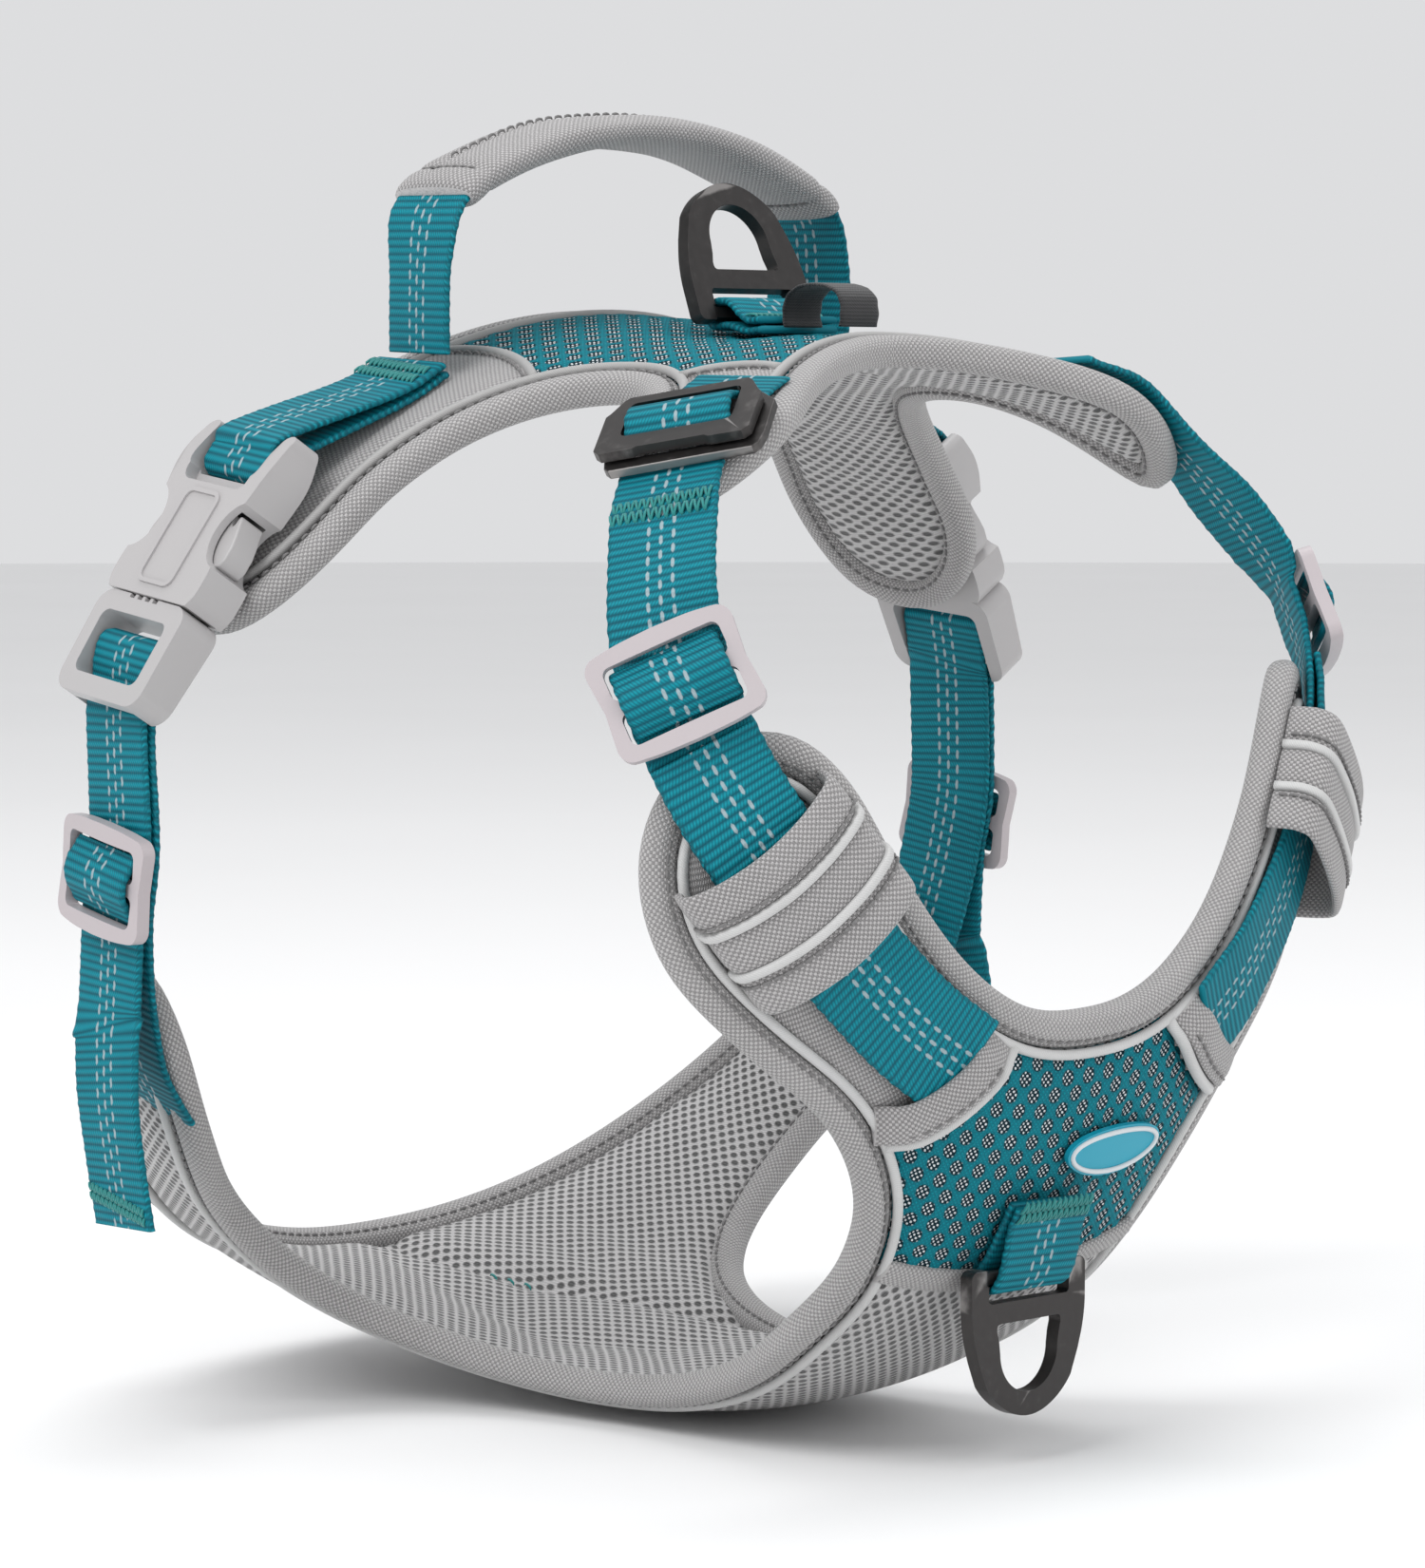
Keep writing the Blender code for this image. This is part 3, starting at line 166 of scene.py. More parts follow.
def seat(t, angle, lift):
    """Local frame on the torso: x across the strap, y up the strap, z outwards."""
    z = Vector(outward(t, angle))
    y = Vector(tangents(t, angle)[1]).normalized() * (-1 if angle > 0 else 1)
    rotation = Matrix((y.cross(z), y, z)).transposed().to_4x4()
    return Matrix.Translation(Vector(on_torso(t, angle, lift))) @ rotation


def place_step(t, angle, step):
    """Change of (t, angle) that moves places by tangent vectors."""
    along, around = tangents(t, angle)
    aa, ab, bb = (along * along).sum(-1), (along * around).sum(-1), (around * around).sum(-1)
    sa, sb = (step * along).sum(-1), (step * around).sum(-1)
    scale = aa * bb - ab * ab
    return (sa * bb - sb * ab) / scale, (sb * aa - sa * ab) / scale


# ---------------------------------------------------------------- paths

def running_length(points):
    """Length along rows of points, from 0 at the first."""
    return np.concatenate([[0], np.cumsum(np.linalg.norm(np.diff(points, axis=0), axis=1))])


def ring_length(ring):
    """Length round a closed ring of points, back to the first."""
    return running_length(np.concatenate([ring, ring[:1]]))


def direction(points, closed=False):
    """Direction of travel at each point of a path."""
    return np.roll(points, -1, 0) - np.roll(points, 1, 0) if closed else np.gradient(points, axis=0)


def smooth_path(points, per_span=8, closed=False):
    """Catmull-Rom curve through rows of numbers."""
    p = np.asarray(points, float)
    n = len(p)
    spans = n if closed else n - 1
    rows = []
    for i in range(spans):
        b, c = p[i % n], p[(i + 1) % n]
        a = p[i - 1] if closed or i else 2 * b - c
        d = p[(i + 2) % n] if closed or i + 2 < n else 2 * c - b
        u = (np.arange(per_span) / per_span)[:, None]
        rows.append(0.5 * (2 * b + (c - a) * u + (2 * a - 5 * b + 4 * c - d) * u ** 2
                           + (3 * b - a - 3 * c + d) * u ** 3))
    if not closed:
        rows.append(p[-1:])
    return np.concatenate(rows)


def resampled(points, spacing, closed=False, measure=None):
    """Rows at even distances; the distance is measured on the points or on a given path."""
    p = np.concatenate([points, points[:1]]) if closed else np.asarray(points, float)
    m = p if measure is None else (np.concatenate([measure, measure[:1]]) if closed else measure)
    run = running_length(m[:, :3])
    count = max(3, int(round(run[-1] / spacing)) + 1)
    target = np.linspace(0, run[-1], count)
    rows = np.stack([np.interp(target, run, p[:, k]) for k in range(p.shape[1])], 1)
    return rows[:-1] if closed else rows


def arc(centre, radius, start, end, steps):
    angles = [radians(start + (end - start) * i / steps) for i in range(steps + 1)]
    return [(centre[0] + radius * cos(a), centre[1] + radius * sin(a)) for a in angles]


def rounded_box(x0, y0, x1, y1, radius, steps=4):
    corners = [((x1 - radius, y0 + radius), -90), ((x1 - radius, y1 - radius), 0),
               ((x0 + radius, y1 - radius), 90), ((x0 + radius, y0 + radius), 180)]
    return [p for centre, start in corners for p in arc(centre, radius, start, start + 90, steps)]


# ---------------------------------------------------------------- objects

def add(name, mesh, material, body, replaced=()):
    """Links a mesh as a piece that rides on a body."""
    obj = bpy.data.objects.new(name, mesh)
    bpy.context.scene.collection.objects.link(obj)
    mesh.materials.clear()
    mesh.materials.append(material)
    mesh.shade_smooth()
    if body:
        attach(obj, body)
    if replaced:
        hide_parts(*replaced)
    return obj


def grid_mesh(name, rings, uv_u, uv_v, closed=False):
    """Mesh from rings of points (n, m, 3), each ring closed, with UVs in millimetres."""
    n, m = rings.shape[:2]
    i = np.arange(n if closed else n - 1)[:, None]
    k = np.arange(m)[None, :]
    j, k1 = (i + 1) % n, (k + 1) % m
    faces = np.stack([i * m + k, i * m + k1, j * m + k1, j * m + k], -1).reshape(-1, 4).tolist()
    if not closed:
        faces += [list(range(m))[::-1], [(n - 1) * m + q for q in range(m)]]
    mesh = bpy.data.meshes.new(name)
    mesh.from_pydata(rings.reshape(-1, 3).tolist(), [], faces)
    u0, u1 = uv_u[:m], uv_u[1:m + 1]
    v0, v1 = uv_v[:len(i), None], uv_v[1:len(i) + 1, None]
    u = np.stack(np.broadcast_arrays(u0, u1, u1, u0 + 0 * v0), -1)
    v = np.stack(np.broadcast_arrays(v0, v0, v1, v1 + 0 * u0), -1)
    flat = np.stack([u, v], -1).reshape(-1, 2)
    data = np.zeros((len(mesh.loops), 2), np.float32)
    data[:len(flat)] = flat
    mesh.uv_layers.new(name="UVMap").data.foreach_set("uv", data.ravel())
    fix_normals(mesh)
    return mesh


@contextmanager
def edited(mesh):
    """The mesh opened for editing, and written back afterwards."""
    bm = bmesh.new()
    bm.from_mesh(mesh)
    yield bm
    bm.to_mesh(mesh)
    bm.free()


def fix_normals(mesh):
    with edited(mesh) as bm:
        bmesh.ops.recalc_face_normals(bm, faces=bm.faces)


def sliced(mesh, places):
    """Cuts a local mesh across x at places in millimetres, so that it can bend."""
    with edited(mesh) as bm:
        for x in places:
            bmesh.ops.bisect_plane(bm, geom=bm.verts[:] + bm.edges[:] + bm.faces[:], plane_co=(x * MM, 0, 0),
                                   plane_no=(1, 0, 0))


def points_of(mesh):
    points = np.zeros(len(mesh.vertices) * 3)
    mesh.vertices.foreach_get("co", points)
    return points.reshape(-1, 3)


def smoothed(obj):
    obj.modifiers.new("Smooth", "SUBSURF").levels = 1
    obj.modifiers["Smooth"].render_levels = 1


def frames_along(centres, across, closed=False):
    """Unit across and normal vectors of a path."""
    run = unit(direction(centres, closed))
    across = unit(across - run * (across * run).sum(-1, keepdims=True))
    return across, unit(np.cross(run, across))


def cord_ring(name, centres, across, section):
    """Loft of a section (m, 2) round a closed path, with UVs in millimetres."""
    x, z = frames_along(centres, across, True)
    rings = centres[:, None] + x[:, None] * section[:, :1] + z[:, None] * section[:, 1:]
    return grid_mesh(name, rings, ring_length(section) / MM, ring_length(centres) / MM, True)


# ---------------------------------------------------------------- material graphs

class Signal:
    """A value made by material nodes, used with ordinary arithmetic."""

    def __init__(self, graph, socket):
        self.graph, self.socket = graph, socket

    def __add__(self, other):
        return self.graph.math("ADD", self, other)

    def __sub__(self, other):
        return self.graph.math("SUBTRACT", self, other)

    def __rsub__(self, other):
        return self.graph.math("SUBTRACT", other, self)

    def __mul__(self, other):
        return self.graph.math("MULTIPLY", self, other)

    def __truediv__(self, other):
        return self.graph.math("DIVIDE", self, other)

    def __pow__(self, other):
        return self.graph.math("POWER", self, other)

    def __lt__(self, other):
        return self.graph.math("LESS_THAN", self, other)

    def __abs__(self):
        return self.graph.math("ABSOLUTE", self)

    def fraction(self):
        return self.graph.math("FRACT", self)

    def sine(self):
        return self.graph.math("SINE", self)

    def clamped(self):
        return self.graph.math("MULTIPLY", self, 1.0, clamp=True)

    def wave(self, period):
        """0 to 1 wave of a length in millimetres."""
        return (self * (2 * pi / period)).sine() * 0.5 + 0.5

    def step(self, edge, soft):
        """Smooth 0 to 1 step as the value passes the edge."""
        node = self.graph.node("MapRange")
        node.interpolation_type = "SMOOTHSTEP"
        self.graph.put(node.inputs["Value"], self)
        node.inputs["From Min"].default_value = edge - soft
        node.inputs["From Max"].default_value = edge + soft
        return Signal(self.graph, node.outputs["Result"])


class Graph:
    """Short way to write a material's nodes."""

    def __init__(self, name, roughness=0.6, metallic=0.0, sheen=0.0, gloss=0.5):
        self.material = bpy.data.materials.new(name)
        self.material.use_nodes = True
        self.tree = self.material.node_tree
        self.shader = self.tree.nodes["Principled BSDF"]
        looks = {"Roughness": roughness, "Metallic": metallic, "Sheen Weight": sheen, "Sheen Roughness": 0.5,
                 "Specular IOR Level": gloss}
        for label, value in looks.items():
            self.shader.inputs[label].default_value = value

    def node(self, kind):
        return self.tree.nodes.new("ShaderNode" + kind)

    def put(self, socket, value):
        if isinstance(value, Signal):
            value = value.socket
        if isinstance(value, bpy.types.NodeSocket):
            self.tree.links.new(value, socket)
        elif hasattr(value, "__len__") and len(value) == 3 and len(socket.default_value) == 4:
            socket.default_value = (*value, 1)
        else:
            socket.default_value = value

    def math(self, operation, *values, clamp=False):
        node = self.node("Math")
        node.operation, node.use_clamp = operation, clamp
        for socket, value in zip(node.inputs, values):
            self.put(socket, value)
        return Signal(self, node.outputs[0])

    def uv(self):
        """Coordinates in millimetres, across the fabric and along it."""
        node = self.node("UVMap")
        node.uv_map = "UVMap"
        parts = self.node("SeparateXYZ")
        self.tree.links.new(node.outputs["UV"], parts.inputs[0])
        return Signal(self, parts.outputs[0]), Signal(self, parts.outputs[1])

    def noise(self, scale, detail=2.0):
        node = self.node("TexNoise")
        node.inputs["Scale"].default_value = scale
        node.inputs["Detail"].default_value = detail
        self.tree.links.new(self.node("TexCoord").outputs["Object"], node.inputs["Vector"])
        return Signal(self, node.outputs["Fac"])

    def mix(self, amount, first, second):
        node = self.node("Mix")
        node.data_type = "RGBA"
        for index, value in ((0, amount), (6, first), (7, second)):
            self.put(node.inputs[index], value)
        return node.outputs[2]

    def finish(self, colour, height, distance, strength, roughness=None):
        """Colour, and a bump whose full height is the distance."""
        bump = self.node("Bump")
        self.put(bump.inputs["Height"], height)
        bump.inputs["Distance"].default_value = distance
        bump.inputs["Strength"].default_value = strength
        self.put(self.shader.inputs["Base Color"], colour)
        self.put(self.shader.inputs["Normal"], bump.outputs["Normal"])
        if roughness is not None:
            self.put(self.shader.inputs["Roughness"], roughness)
        return self.material


def dimmed(colour, part):
    return tuple(c * part for c in colour)


def cells(u, v, pitch_u, pitch_v):
    """Distances (du, dv) in millimetres from the nearest centre of a staggered grid."""
    found = []
    for shift in (0.0, 0.5):
        du = ((u / pitch_u + shift).fraction() - 0.5) * pitch_u
        dv = ((v / pitch_v + shift).fraction() - 0.5) * pitch_v
        found.append((du, dv, du * du + dv * dv))
    (ua, va, ra), (ub, vb, rb) = found
    nearer_b = rb < ra
    return ua + nearer_b * (ub - ua), va + nearer_b * (vb - va)


DASH_COLUMNS, DASH_PERIOD, DASH_STAGGER = 2.9, 3.8, 0.3
SELVEDGE = 11.6
SPACER_PITCH = (3.7, 4.1)
KNIT_PITCH = (7.0, 7.6)
FLOWER_RADIUS, FLECK_PITCH = 1.85, 1.45


def webbing_material(name, base, groove):
    """Ribbed webbing: ribs run across it, with slanted yarns, a tracer of dashes and dark selvedges; the
    grooves between the ribs are painted darker as painted shade.
    """
    g = Graph(name, roughness=0.62, gloss=0.2)
    u, v = g.uv()
    rib = v.wave(RIB_PITCH / MM)
    yarn = (u + v * 0.5).wave(0.78)
    # painted shade: the colour darkens in the grooves between the ribs, as well as with the slanted yarn
    # pattern and random noise
    tone = rib ** 0.6 * (yarn * 0.6 + 0.4) * 0.92 + 0.02
    colour = g.mix(g.noise(60, 3) * 0.2 + tone, groove, base)
    fleck = (v + u * 0.8).wave(1.5) * abs(u).step(SELVEDGE, 0.25)
    colour = g.mix(fleck * 0.55, colour, dimmed(base, 0.3))
    marks = None
    for column in (-1, 0, 1):
        off = abs(u - DASH_COLUMNS * column)
        along = abs((v / DASH_PERIOD + DASH_STAGGER * column).fraction() - 0.5)
        mark = (1 - off.step(0.42, 0.12)) * (1 - (off * 0.3 + along).step(0.33, 0.06))
        marks = mark if marks is None else g.math("MAXIMUM", marks, mark)
    colour = g.mix(marks * 0.85, colour, (0.36, 0.44, 0.47))
    return g.finish(colour, rib * 0.7 + yarn * 0.3 + marks * 0.35, 0.35 * MM, 0.7)


def weave_material(name, light, dark, pitch):
    """Plain weave of two-tone yarns."""
    g = Graph(name, roughness=0.78, sheen=0.3)
    u, v = g.uv()
    wobble = g.noise(900, 1) * 0.25
    warp, weft = (((x + wobble) * (pi / pitch)).sine() for x in (u, v))
    over = (warp * weft).step(0.0, 0.30)
    height = over * abs(warp) + (1 - over) * (abs(weft) * 0.7)
    tone = g.noise(45, 3) * 0.3 + (over * 0.75 + height * 0.35 - 0.2)
    return g.finish(g.mix(tone.clamped(), dark, light), height, 0.30 * MM, 0.75)


def spacer_material(name, light, hole):
    """Grey spacer mesh with staggered oval holes, which are painted near black as painted shade inside them.
    """
    g = Graph(name, roughness=0.85, sheen=0.3)
    u, v = g.uv()
    du, dv = cells(u, v, *SPACER_PITCH)
    solid = ((du * du * 1.5 + dv * dv * 0.95) ** 0.5).step(0.98, 0.34)
    knit = (u + v * 0.3).wave(0.7)
    tone = g.noise(30, 2) * 0.16 + (solid * (knit * 0.22 + 0.78) - 0.08)
    # painted shade: the holes take the near-black hole colour
    return g.finish(g.mix(tone.clamped(), hole, light), solid + knit * 0.12, 0.9 * MM, 0.8)


def flower_material(name, base, dark, fleck):
    """Teal knit with clusters of light flecks in staggered dimples; the near-black round the flecks is
    painted shade in the pits, and the ground is painted lighter on its knit ridges and darker in the valleys,
    as painted highlight and shade.
    """
    g = Graph(name, roughness=0.8, gloss=0.2)
    u, v = g.uv()
    du, dv = cells(u, v, *KNIT_PITCH)
    r = (du * du + dv * dv) ** 0.5
    inside = 1 - r.step(FLOWER_RADIUS, 0.2)
    column, row = (((x + 0.28) * (2 * pi / FLECK_PITCH)).sine() for x in (du, dv))
    white = (column * row + (g.noise(700, 2) - 0.5) * 0.5).step(0.30, 0.12)
    speckle = (u + v).wave(1.3) * (u - v).wave(1.3)
    # painted highlight and shade: the ground is lighter on the ring-shaped ridge round each dimple and darker
    # in the valleys; the ridge is not in the bump
    ridge = 1 - abs(r * 0.7 - 2.1).clamped()
    tone = (speckle * 0.6 + 0.35) * (ridge * 0.5 + 0.6)
    ground = g.mix(g.noise(70, 2) * 0.25 + tone, dark, base)
    # painted shade: the light flecks sit on near-black inside each dimple
    colour = g.mix(inside, ground, g.mix(white, (0.001, 0.02, 0.03), fleck))
    return g.finish(colour, 1 - inside + speckle * 0.4 + inside * white * 0.7, 0.8 * MM, 0.8)


def thread_material(name, colour):
    """Twisted sewing thread."""
    g = Graph(name, roughness=0.6, sheen=0.2)
    tone = g.noise(2500, 1)
    return g.finish(g.mix(tone, dimmed(colour, 0.6), colour), tone, 0.1 * MM, 0.4)


def cord_material(name, colour):
    """Satin piping with fine slanted ribs."""
    g = Graph(name, roughness=0.5, sheen=0.35)
    u, v = g.uv()
    rib = (v + u * 0.6).wave(0.55)
    tone = rib * 0.4 + g.noise(80, 2) * 0.5
    return g.finish(g.mix(tone, dimmed(colour, 0.72), colour), rib, 0.08 * MM, 0.5)


def plastic_material(name, colour, warm):
    """Satin moulded plastic with a fine spark texture."""
    g = Graph(name)
    cloud = g.noise(25, 3)
    return g.finish(g.mix(cloud * 0.7 - 0.05, colour, warm), g.noise(2600, 2), 0.03 * MM, 0.35,
                    cloud * 0.14 + 0.36)


def metal_material(name, colour, edge_highlight):
    """Black-plated steel with a painted highlight on its edges: a pale colour is mixed in where the
    pointiness marks a sharp edge.
    """
    g = Graph(name, metallic=0.75)
    scratch = g.noise(420, 4)
    # painted highlight: a pale colour on sharp edges, where the pointiness is high
    edge = (scratch * 0.06 + Signal(g, g.node("NewGeometry").outputs["Pointiness"])).step(0.60, 0.035)
    tone = g.mix(edge * 0.6, g.mix(scratch, dimmed(colour, 0.7), colour), edge_highlight)
    return g.finish(tone, scratch, 0.02 * MM, 0.25, scratch * 0.22 + 0.26)


def ribbon_material(name):
    """Fine black ribbon."""
    g = Graph(name, roughness=0.6, sheen=0.2)
    u, v = g.uv()
    rib, yarn = v.wave(0.8), (u + v).wave(0.5)
    colour = g.mix(rib * yarn, (0.004, 0.004, 0.005), (0.035, 0.035, 0.038))
    return g.finish(colour, rib + yarn, 0.15 * MM, 0.6)


# the dark teal of the webbing is painted shade in its rib grooves and the darker yarn of its slanted pattern
TEAL, TEAL_GROOVE_SHADE_AND_YARN = (0.001, 0.265, 0.335), (0.0003, 0.055, 0.085)
WEB = webbing_material("teal_webbing", TEAL, TEAL_GROOVE_SHADE_AND_YARN)
WEAVE = weave_material("grey_weave", (0.46, 0.447, 0.447), (0.17, 0.164, 0.164), 0.7)
ROLL_WEAVE = weave_material("binding_weave", (0.47, 0.458, 0.456), (0.19, 0.184, 0.184), 0.7)
# the near-black second colour is painted shade in the holes of the spacer mesh
LINING = spacer_material("lining_spacer", (0.52, 0.51, 0.51), (0.07, 0.07, 0.07))
# the dark teal is painted shade in the valleys between the knit ridges, and the darker part of the speckle
FLOWER = flower_material("teal_knit", (0.001, 0.25, 0.31), (0.0003, 0.05, 0.08), (0.66, 0.70, 0.72))
PIPING = cord_material("light_piping", (0.60, 0.60, 0.595))
SEAM_PIPING = cord_material("grey_piping", (0.40, 0.395, 0.39))
THREAD = thread_material("grey_thread", (0.20, 0.195, 0.195))
TACK_THREAD = thread_material("tack_thread", (0.004, 0.26, 0.25))
PLASTIC = plastic_material("buckle_plastic", (0.41, 0.405, 0.405), (0.43, 0.405, 0.41))
SLIDER_PLASTIC = plastic_material("slider_plastic", (0.45, 0.415, 0.425), (0.50, 0.435, 0.46))
# the pale second colour is a painted highlight on the metal's sharp edges
METAL = metal_material("black_plating", (0.060, 0.056, 0.055), (0.42, 0.40, 0.39))
RIBBON = ribbon_material("black_ribbon")
BADGE = plastic_material("badge_rubber", (0.001, 0.30, 0.42), (0.002, 0.33, 0.46))
BADGE_RIM = plastic_material("badge_rim", (0.60, 0.64, 0.66), (0.66, 0.68, 0.70))


# ---------------------------------------------------------------- panels of the two pads

def panel_curve(half, middle, spacing):
    """Closed outline as rows (t, angle) at even distances on the torso."""
    half = np.array(half)
    right = half.copy()
    right[:, 1] = 2 * middle - right[:, 1] if middle else -right[:, 1]
    points = np.concatenate([right, half[1:-1][::-1]])
    return even_curve(smooth_path(points, 24, closed=True), spacing, True)


def even_curve(curve, spacing, closed):
    """A (t, angle) curve with points at even distances on the torso."""
    return resampled(curve, spacing, closed, torso(*curve.T))


def turning(curve):
    following = np.roll(curve, -1, 0)
    return np.sign((curve[:, 0] * following[:, 1] - following[:, 0] * curve[:, 1]).sum())


def inset(curve, distance, closed=True):
    """Moves a (t, angle) curve sideways along the torso; inwards for a closed one."""
    run = direction(torso(curve[:, 0], curve[:, 1]), closed)
    turn = turning(curve) if closed else 1.0
    step = unit(np.cross(outward(curve[:, 0], curve[:, 1]), run)) * (turn * distance)
    dt, da = place_step(curve[:, 0], curve[:, 1], step)
    return curve + np.stack([dt, da], 1)


def surface_uv(t, angle, middle):
    """Sewing-pattern coordinates in millimetres: across the torso and along it."""
    t, angle = np.asarray(t), np.asarray(angle)
    mid = np.full_like(t, float(middle))
    grid = np.linspace(-0.3, 1.3, 65)
    spine = torso(grid, np.full_like(grid, float(middle)))
    run = running_length(spine) / MM
    v = np.interp(t, grid, run)
    u = np.zeros_like(t)
    last = torso(t, mid)
    for part in np.linspace(0, 1, 13)[1:]:
        here = torso(t, mid + (angle - mid) * part)
        u = u + np.linalg.norm(here - last, axis=-1) / MM
        last = here
    return u * np.sign(angle - mid), v


def inside_mask(rim, points):
    hit = np.zeros(len(points), bool)
    a, b = rim, np.roll(rim, -1, 0)
    for (px, py), (qx, qy) in zip(a, b):
        if py == qy:
            continue
        cross = (py > points[:, 1]) != (qy > points[:, 1])
        hit ^= cross & (points[:, 0] < px + (points[:, 1] - py) * (qx - px) / (qy - py))
    return hit


FLAT_T, FLAT_ANGLE = 0.20, 0.0022
ROW_HEIGHT, RIM_GAP = 0.866, 0.55


def triangulated(curve, spacing):
    """Even triangles inside a closed (t, angle) curve: places, faces, distances from the rim."""
    scale = np.array((FLAT_T, FLAT_ANGLE))
    flat_curve = np.concatenate([curve * scale, np.zeros((len(curve), 1))], 1)
    rim = resampled(flat_curve, spacing, closed=True)[:, :2]
    low, high = rim.min(0), rim.max(0)
    rows = np.arange(1, int((high[0] - low[0]) / spacing / ROW_HEIGHT) + 1)
    cols = np.arange(0, int((high[1] - low[1]) / spacing) + 2)
    gi, gj = np.meshgrid(rows, cols, indexing="ij")
    grid = np.stack([low[0] + gi * spacing * ROW_HEIGHT, low[1] + (gj - 0.5 * (gi % 2)) * spacing], -1)
    grid = grid.reshape(-1, 2)
    grid = grid[inside_mask(rim, grid)]
    near = np.array([((rim - p) ** 2).sum(1).min() for p in grid])
    grid = grid[near > (RIM_GAP * spacing) ** 2]
    points = np.concatenate([rim, grid])
    edges = [(i, (i + 1) % len(rim)) for i in range(len(rim))]
    flat, _, faces, *_ = delaunay_2d_cdt([Vector(p) for p in points], edges, [], 1, 1e-7)
    flat = np.array([tuple(p) for p in flat])
    far = np.sqrt(np.array([((rim - p) ** 2).sum(1).min() for p in flat]))
    return flat / scale, faces, far


def compacted(faces, *rows):
    """Faces and rows of values without the points that no face uses."""
    used = sorted({i for face in faces for i in face})
    index = {old: new for new, old in enumerate(used)}
    return [[index[i] for i in face] for face in faces], *(row[used] for row in rows)


def pattern_uv(mesh, t, angle, middle):
    """Sewing-pattern coordinates for a mesh whose points repeat the given places."""
    u, v = surface_uv(t, angle, middle)
    corners = np.zeros(len(mesh.loops), np.int32)
    mesh.loops.foreach_get("vertex_index", corners)
    corners %= len(t)
    layer = mesh.uv_layers.new(name="UVMap")
    layer.data.foreach_set("uv", np.stack([u[corners], v[corners]], 1).astype(np.float32).ravel())
    return u, v


def sheet_mesh(name, places, faces, lift, middle):
    """Open sheet on the torso with pattern coordinates; loose points are left out."""
    faces, places, lift = compacted(faces, places, np.broadcast_to(lift, len(places)))
    t, angle = places.T
    mesh = bpy.data.meshes.new(name)
    mesh.from_pydata(on_torso(t, angle, lift).tolist(), [], faces)
    pattern_uv(mesh, t, angle, middle)
    return mesh


CLOTH_FRAMES = 20


def simulated(mesh, pinned, pressure, cap):
    """Swells a pinned fabric body by air pressure; no point moves further than the cap."""
    scene = bpy.context.scene
    obj = bpy.data.objects.new("cloth_source", mesh)
    scene.collection.objects.link(obj)
    group = obj.vertex_groups.new(name="pin")
    group.add([int(i) for i in np.nonzero(pinned)[0]], 1.0, "REPLACE")
    start = points_of(mesh)
    cloth = obj.modifiers.new("Cloth", "CLOTH")
    settings = cloth.settings
    settings.effector_weights.gravity = 0
    settings.use_pressure = True
    settings.uniform_pressure_force = pressure
    settings.vertex_group_mass = "pin"
    settings.tension_stiffness = 20
    settings.compression_stiffness = 20
    settings.bending_stiffness = 1.5
    cloth.point_cache.frame_start = 1
    cloth.point_cache.frame_end = CLOTH_FRAMES
    for number in range(1, CLOTH_FRAMES + 1):
        scene.frame_set(number)
    shift = points_of(obj.evaluated_get(bpy.context.evaluated_depsgraph_get()).data) - start
    scene.frame_set(1)
    size = np.linalg.norm(shift, axis=1, keepdims=True)
    shift *= np.minimum(1.0, cap / np.maximum(size, 1e-9))
    mesh.vertices.foreach_set("co", (start + shift).ravel())
    bpy.data.objects.remove(obj)
    mesh.update()


# ---------------------------------------------------------------- rolls, cords and stitches

def eased_curve(curve, closed):
    if closed:
        return 0.25 * np.roll(curve, 1, 0) + 0.5 * curve + 0.25 * np.roll(curve, -1, 0)
    middle = 0.25 * curve[:-2] + 0.5 * curve[1:-1] + 0.25 * curve[2:]
    return np.concatenate([curve[:1], middle, curve[-1:]])


def rim_path(curve, distance, spacing=3.0 * MM, closed=True):
    """A (t, angle) curve moved inwards in small eased steps, so that it has no loops."""
    steps = max(1, int(np.ceil(abs(distance) / (2.0 * MM))))
    for _ in range(steps):
        curve = even_curve(inset(curve, distance / steps, closed), spacing, closed)
        curve = eased_curve(curve, closed)
    return even_curve(curve, spacing, closed)


def surface_frames(curve, lift, closed):
    """Centres, and inward and outward unit vectors, of a (t, angle) curve."""
    t, angle = curve.T
    out = outward(t, angle)
    centres = on_torso(t, angle, np.broadcast_to(lift, t.shape))
    turn = turning(curve) if closed else 1.0
    return centres, unit(np.cross(out, unit(direction(centres, closed)))) * turn, out


def rolled(name, curve, lift, section, closed=True, waves=0.0):
    """A roll or cord of a section (inwards, outwards) laid along a (t, angle) curve."""
    centres, inward, out = surface_frames(curve, lift, closed)
    path = running_length(centres)
    size = 1 + waves * (np.sin(path / (23 * MM)) + np.sin(path / (9.5 * MM) + 2)) / 2
    section = np.asarray(section)[None] * size[:, None, None]
    rings = centres[:, None] + inward[:, None] * section[..., :1] + out[:, None] * section[..., 1:]
    uv_u = ring_length(section[0]) / MM
    last = np.linalg.norm(centres[-1] - centres[0]) if closed else 0
    return grid_mesh(name, rings, uv_u, np.append(path, path[-1] + last) / MM, closed)


def squircle(sides, power):
    """Angles round a section, and its points (x, z): a circle at power 2, boxier above it."""
    turns = np.arange(sides) * 2 * pi / sides
    c, s = np.cos(turns), np.sin(turns)
    size = (np.abs(c) ** power + np.abs(s) ** power) ** (-1 / power)
    return turns, np.stack([size * c, size * s], 1)


def round_section(radius, sides):
    return radius * squircle(sides, 2)[1]


GROOVE_TURN, GROOVE_SPREAD = 1.0, 0.17


def binding_section(half_width, half_thick, groove_depth):
    """Rounded strip folded over the edge, with a sewn groove on both faces of its inner side."""
    turns, section = squircle(28, 2.5)
    for side in (-1, 1):
        off = (turns - side * GROOVE_TURN + pi) % (2 * pi) - pi
        section *= (1 - groove_depth * np.exp(-(off / GROOVE_SPREAD) ** 2))[:, None]
    return section * (half_width, half_thick)


STITCH_PERIOD = 3.1 * MM


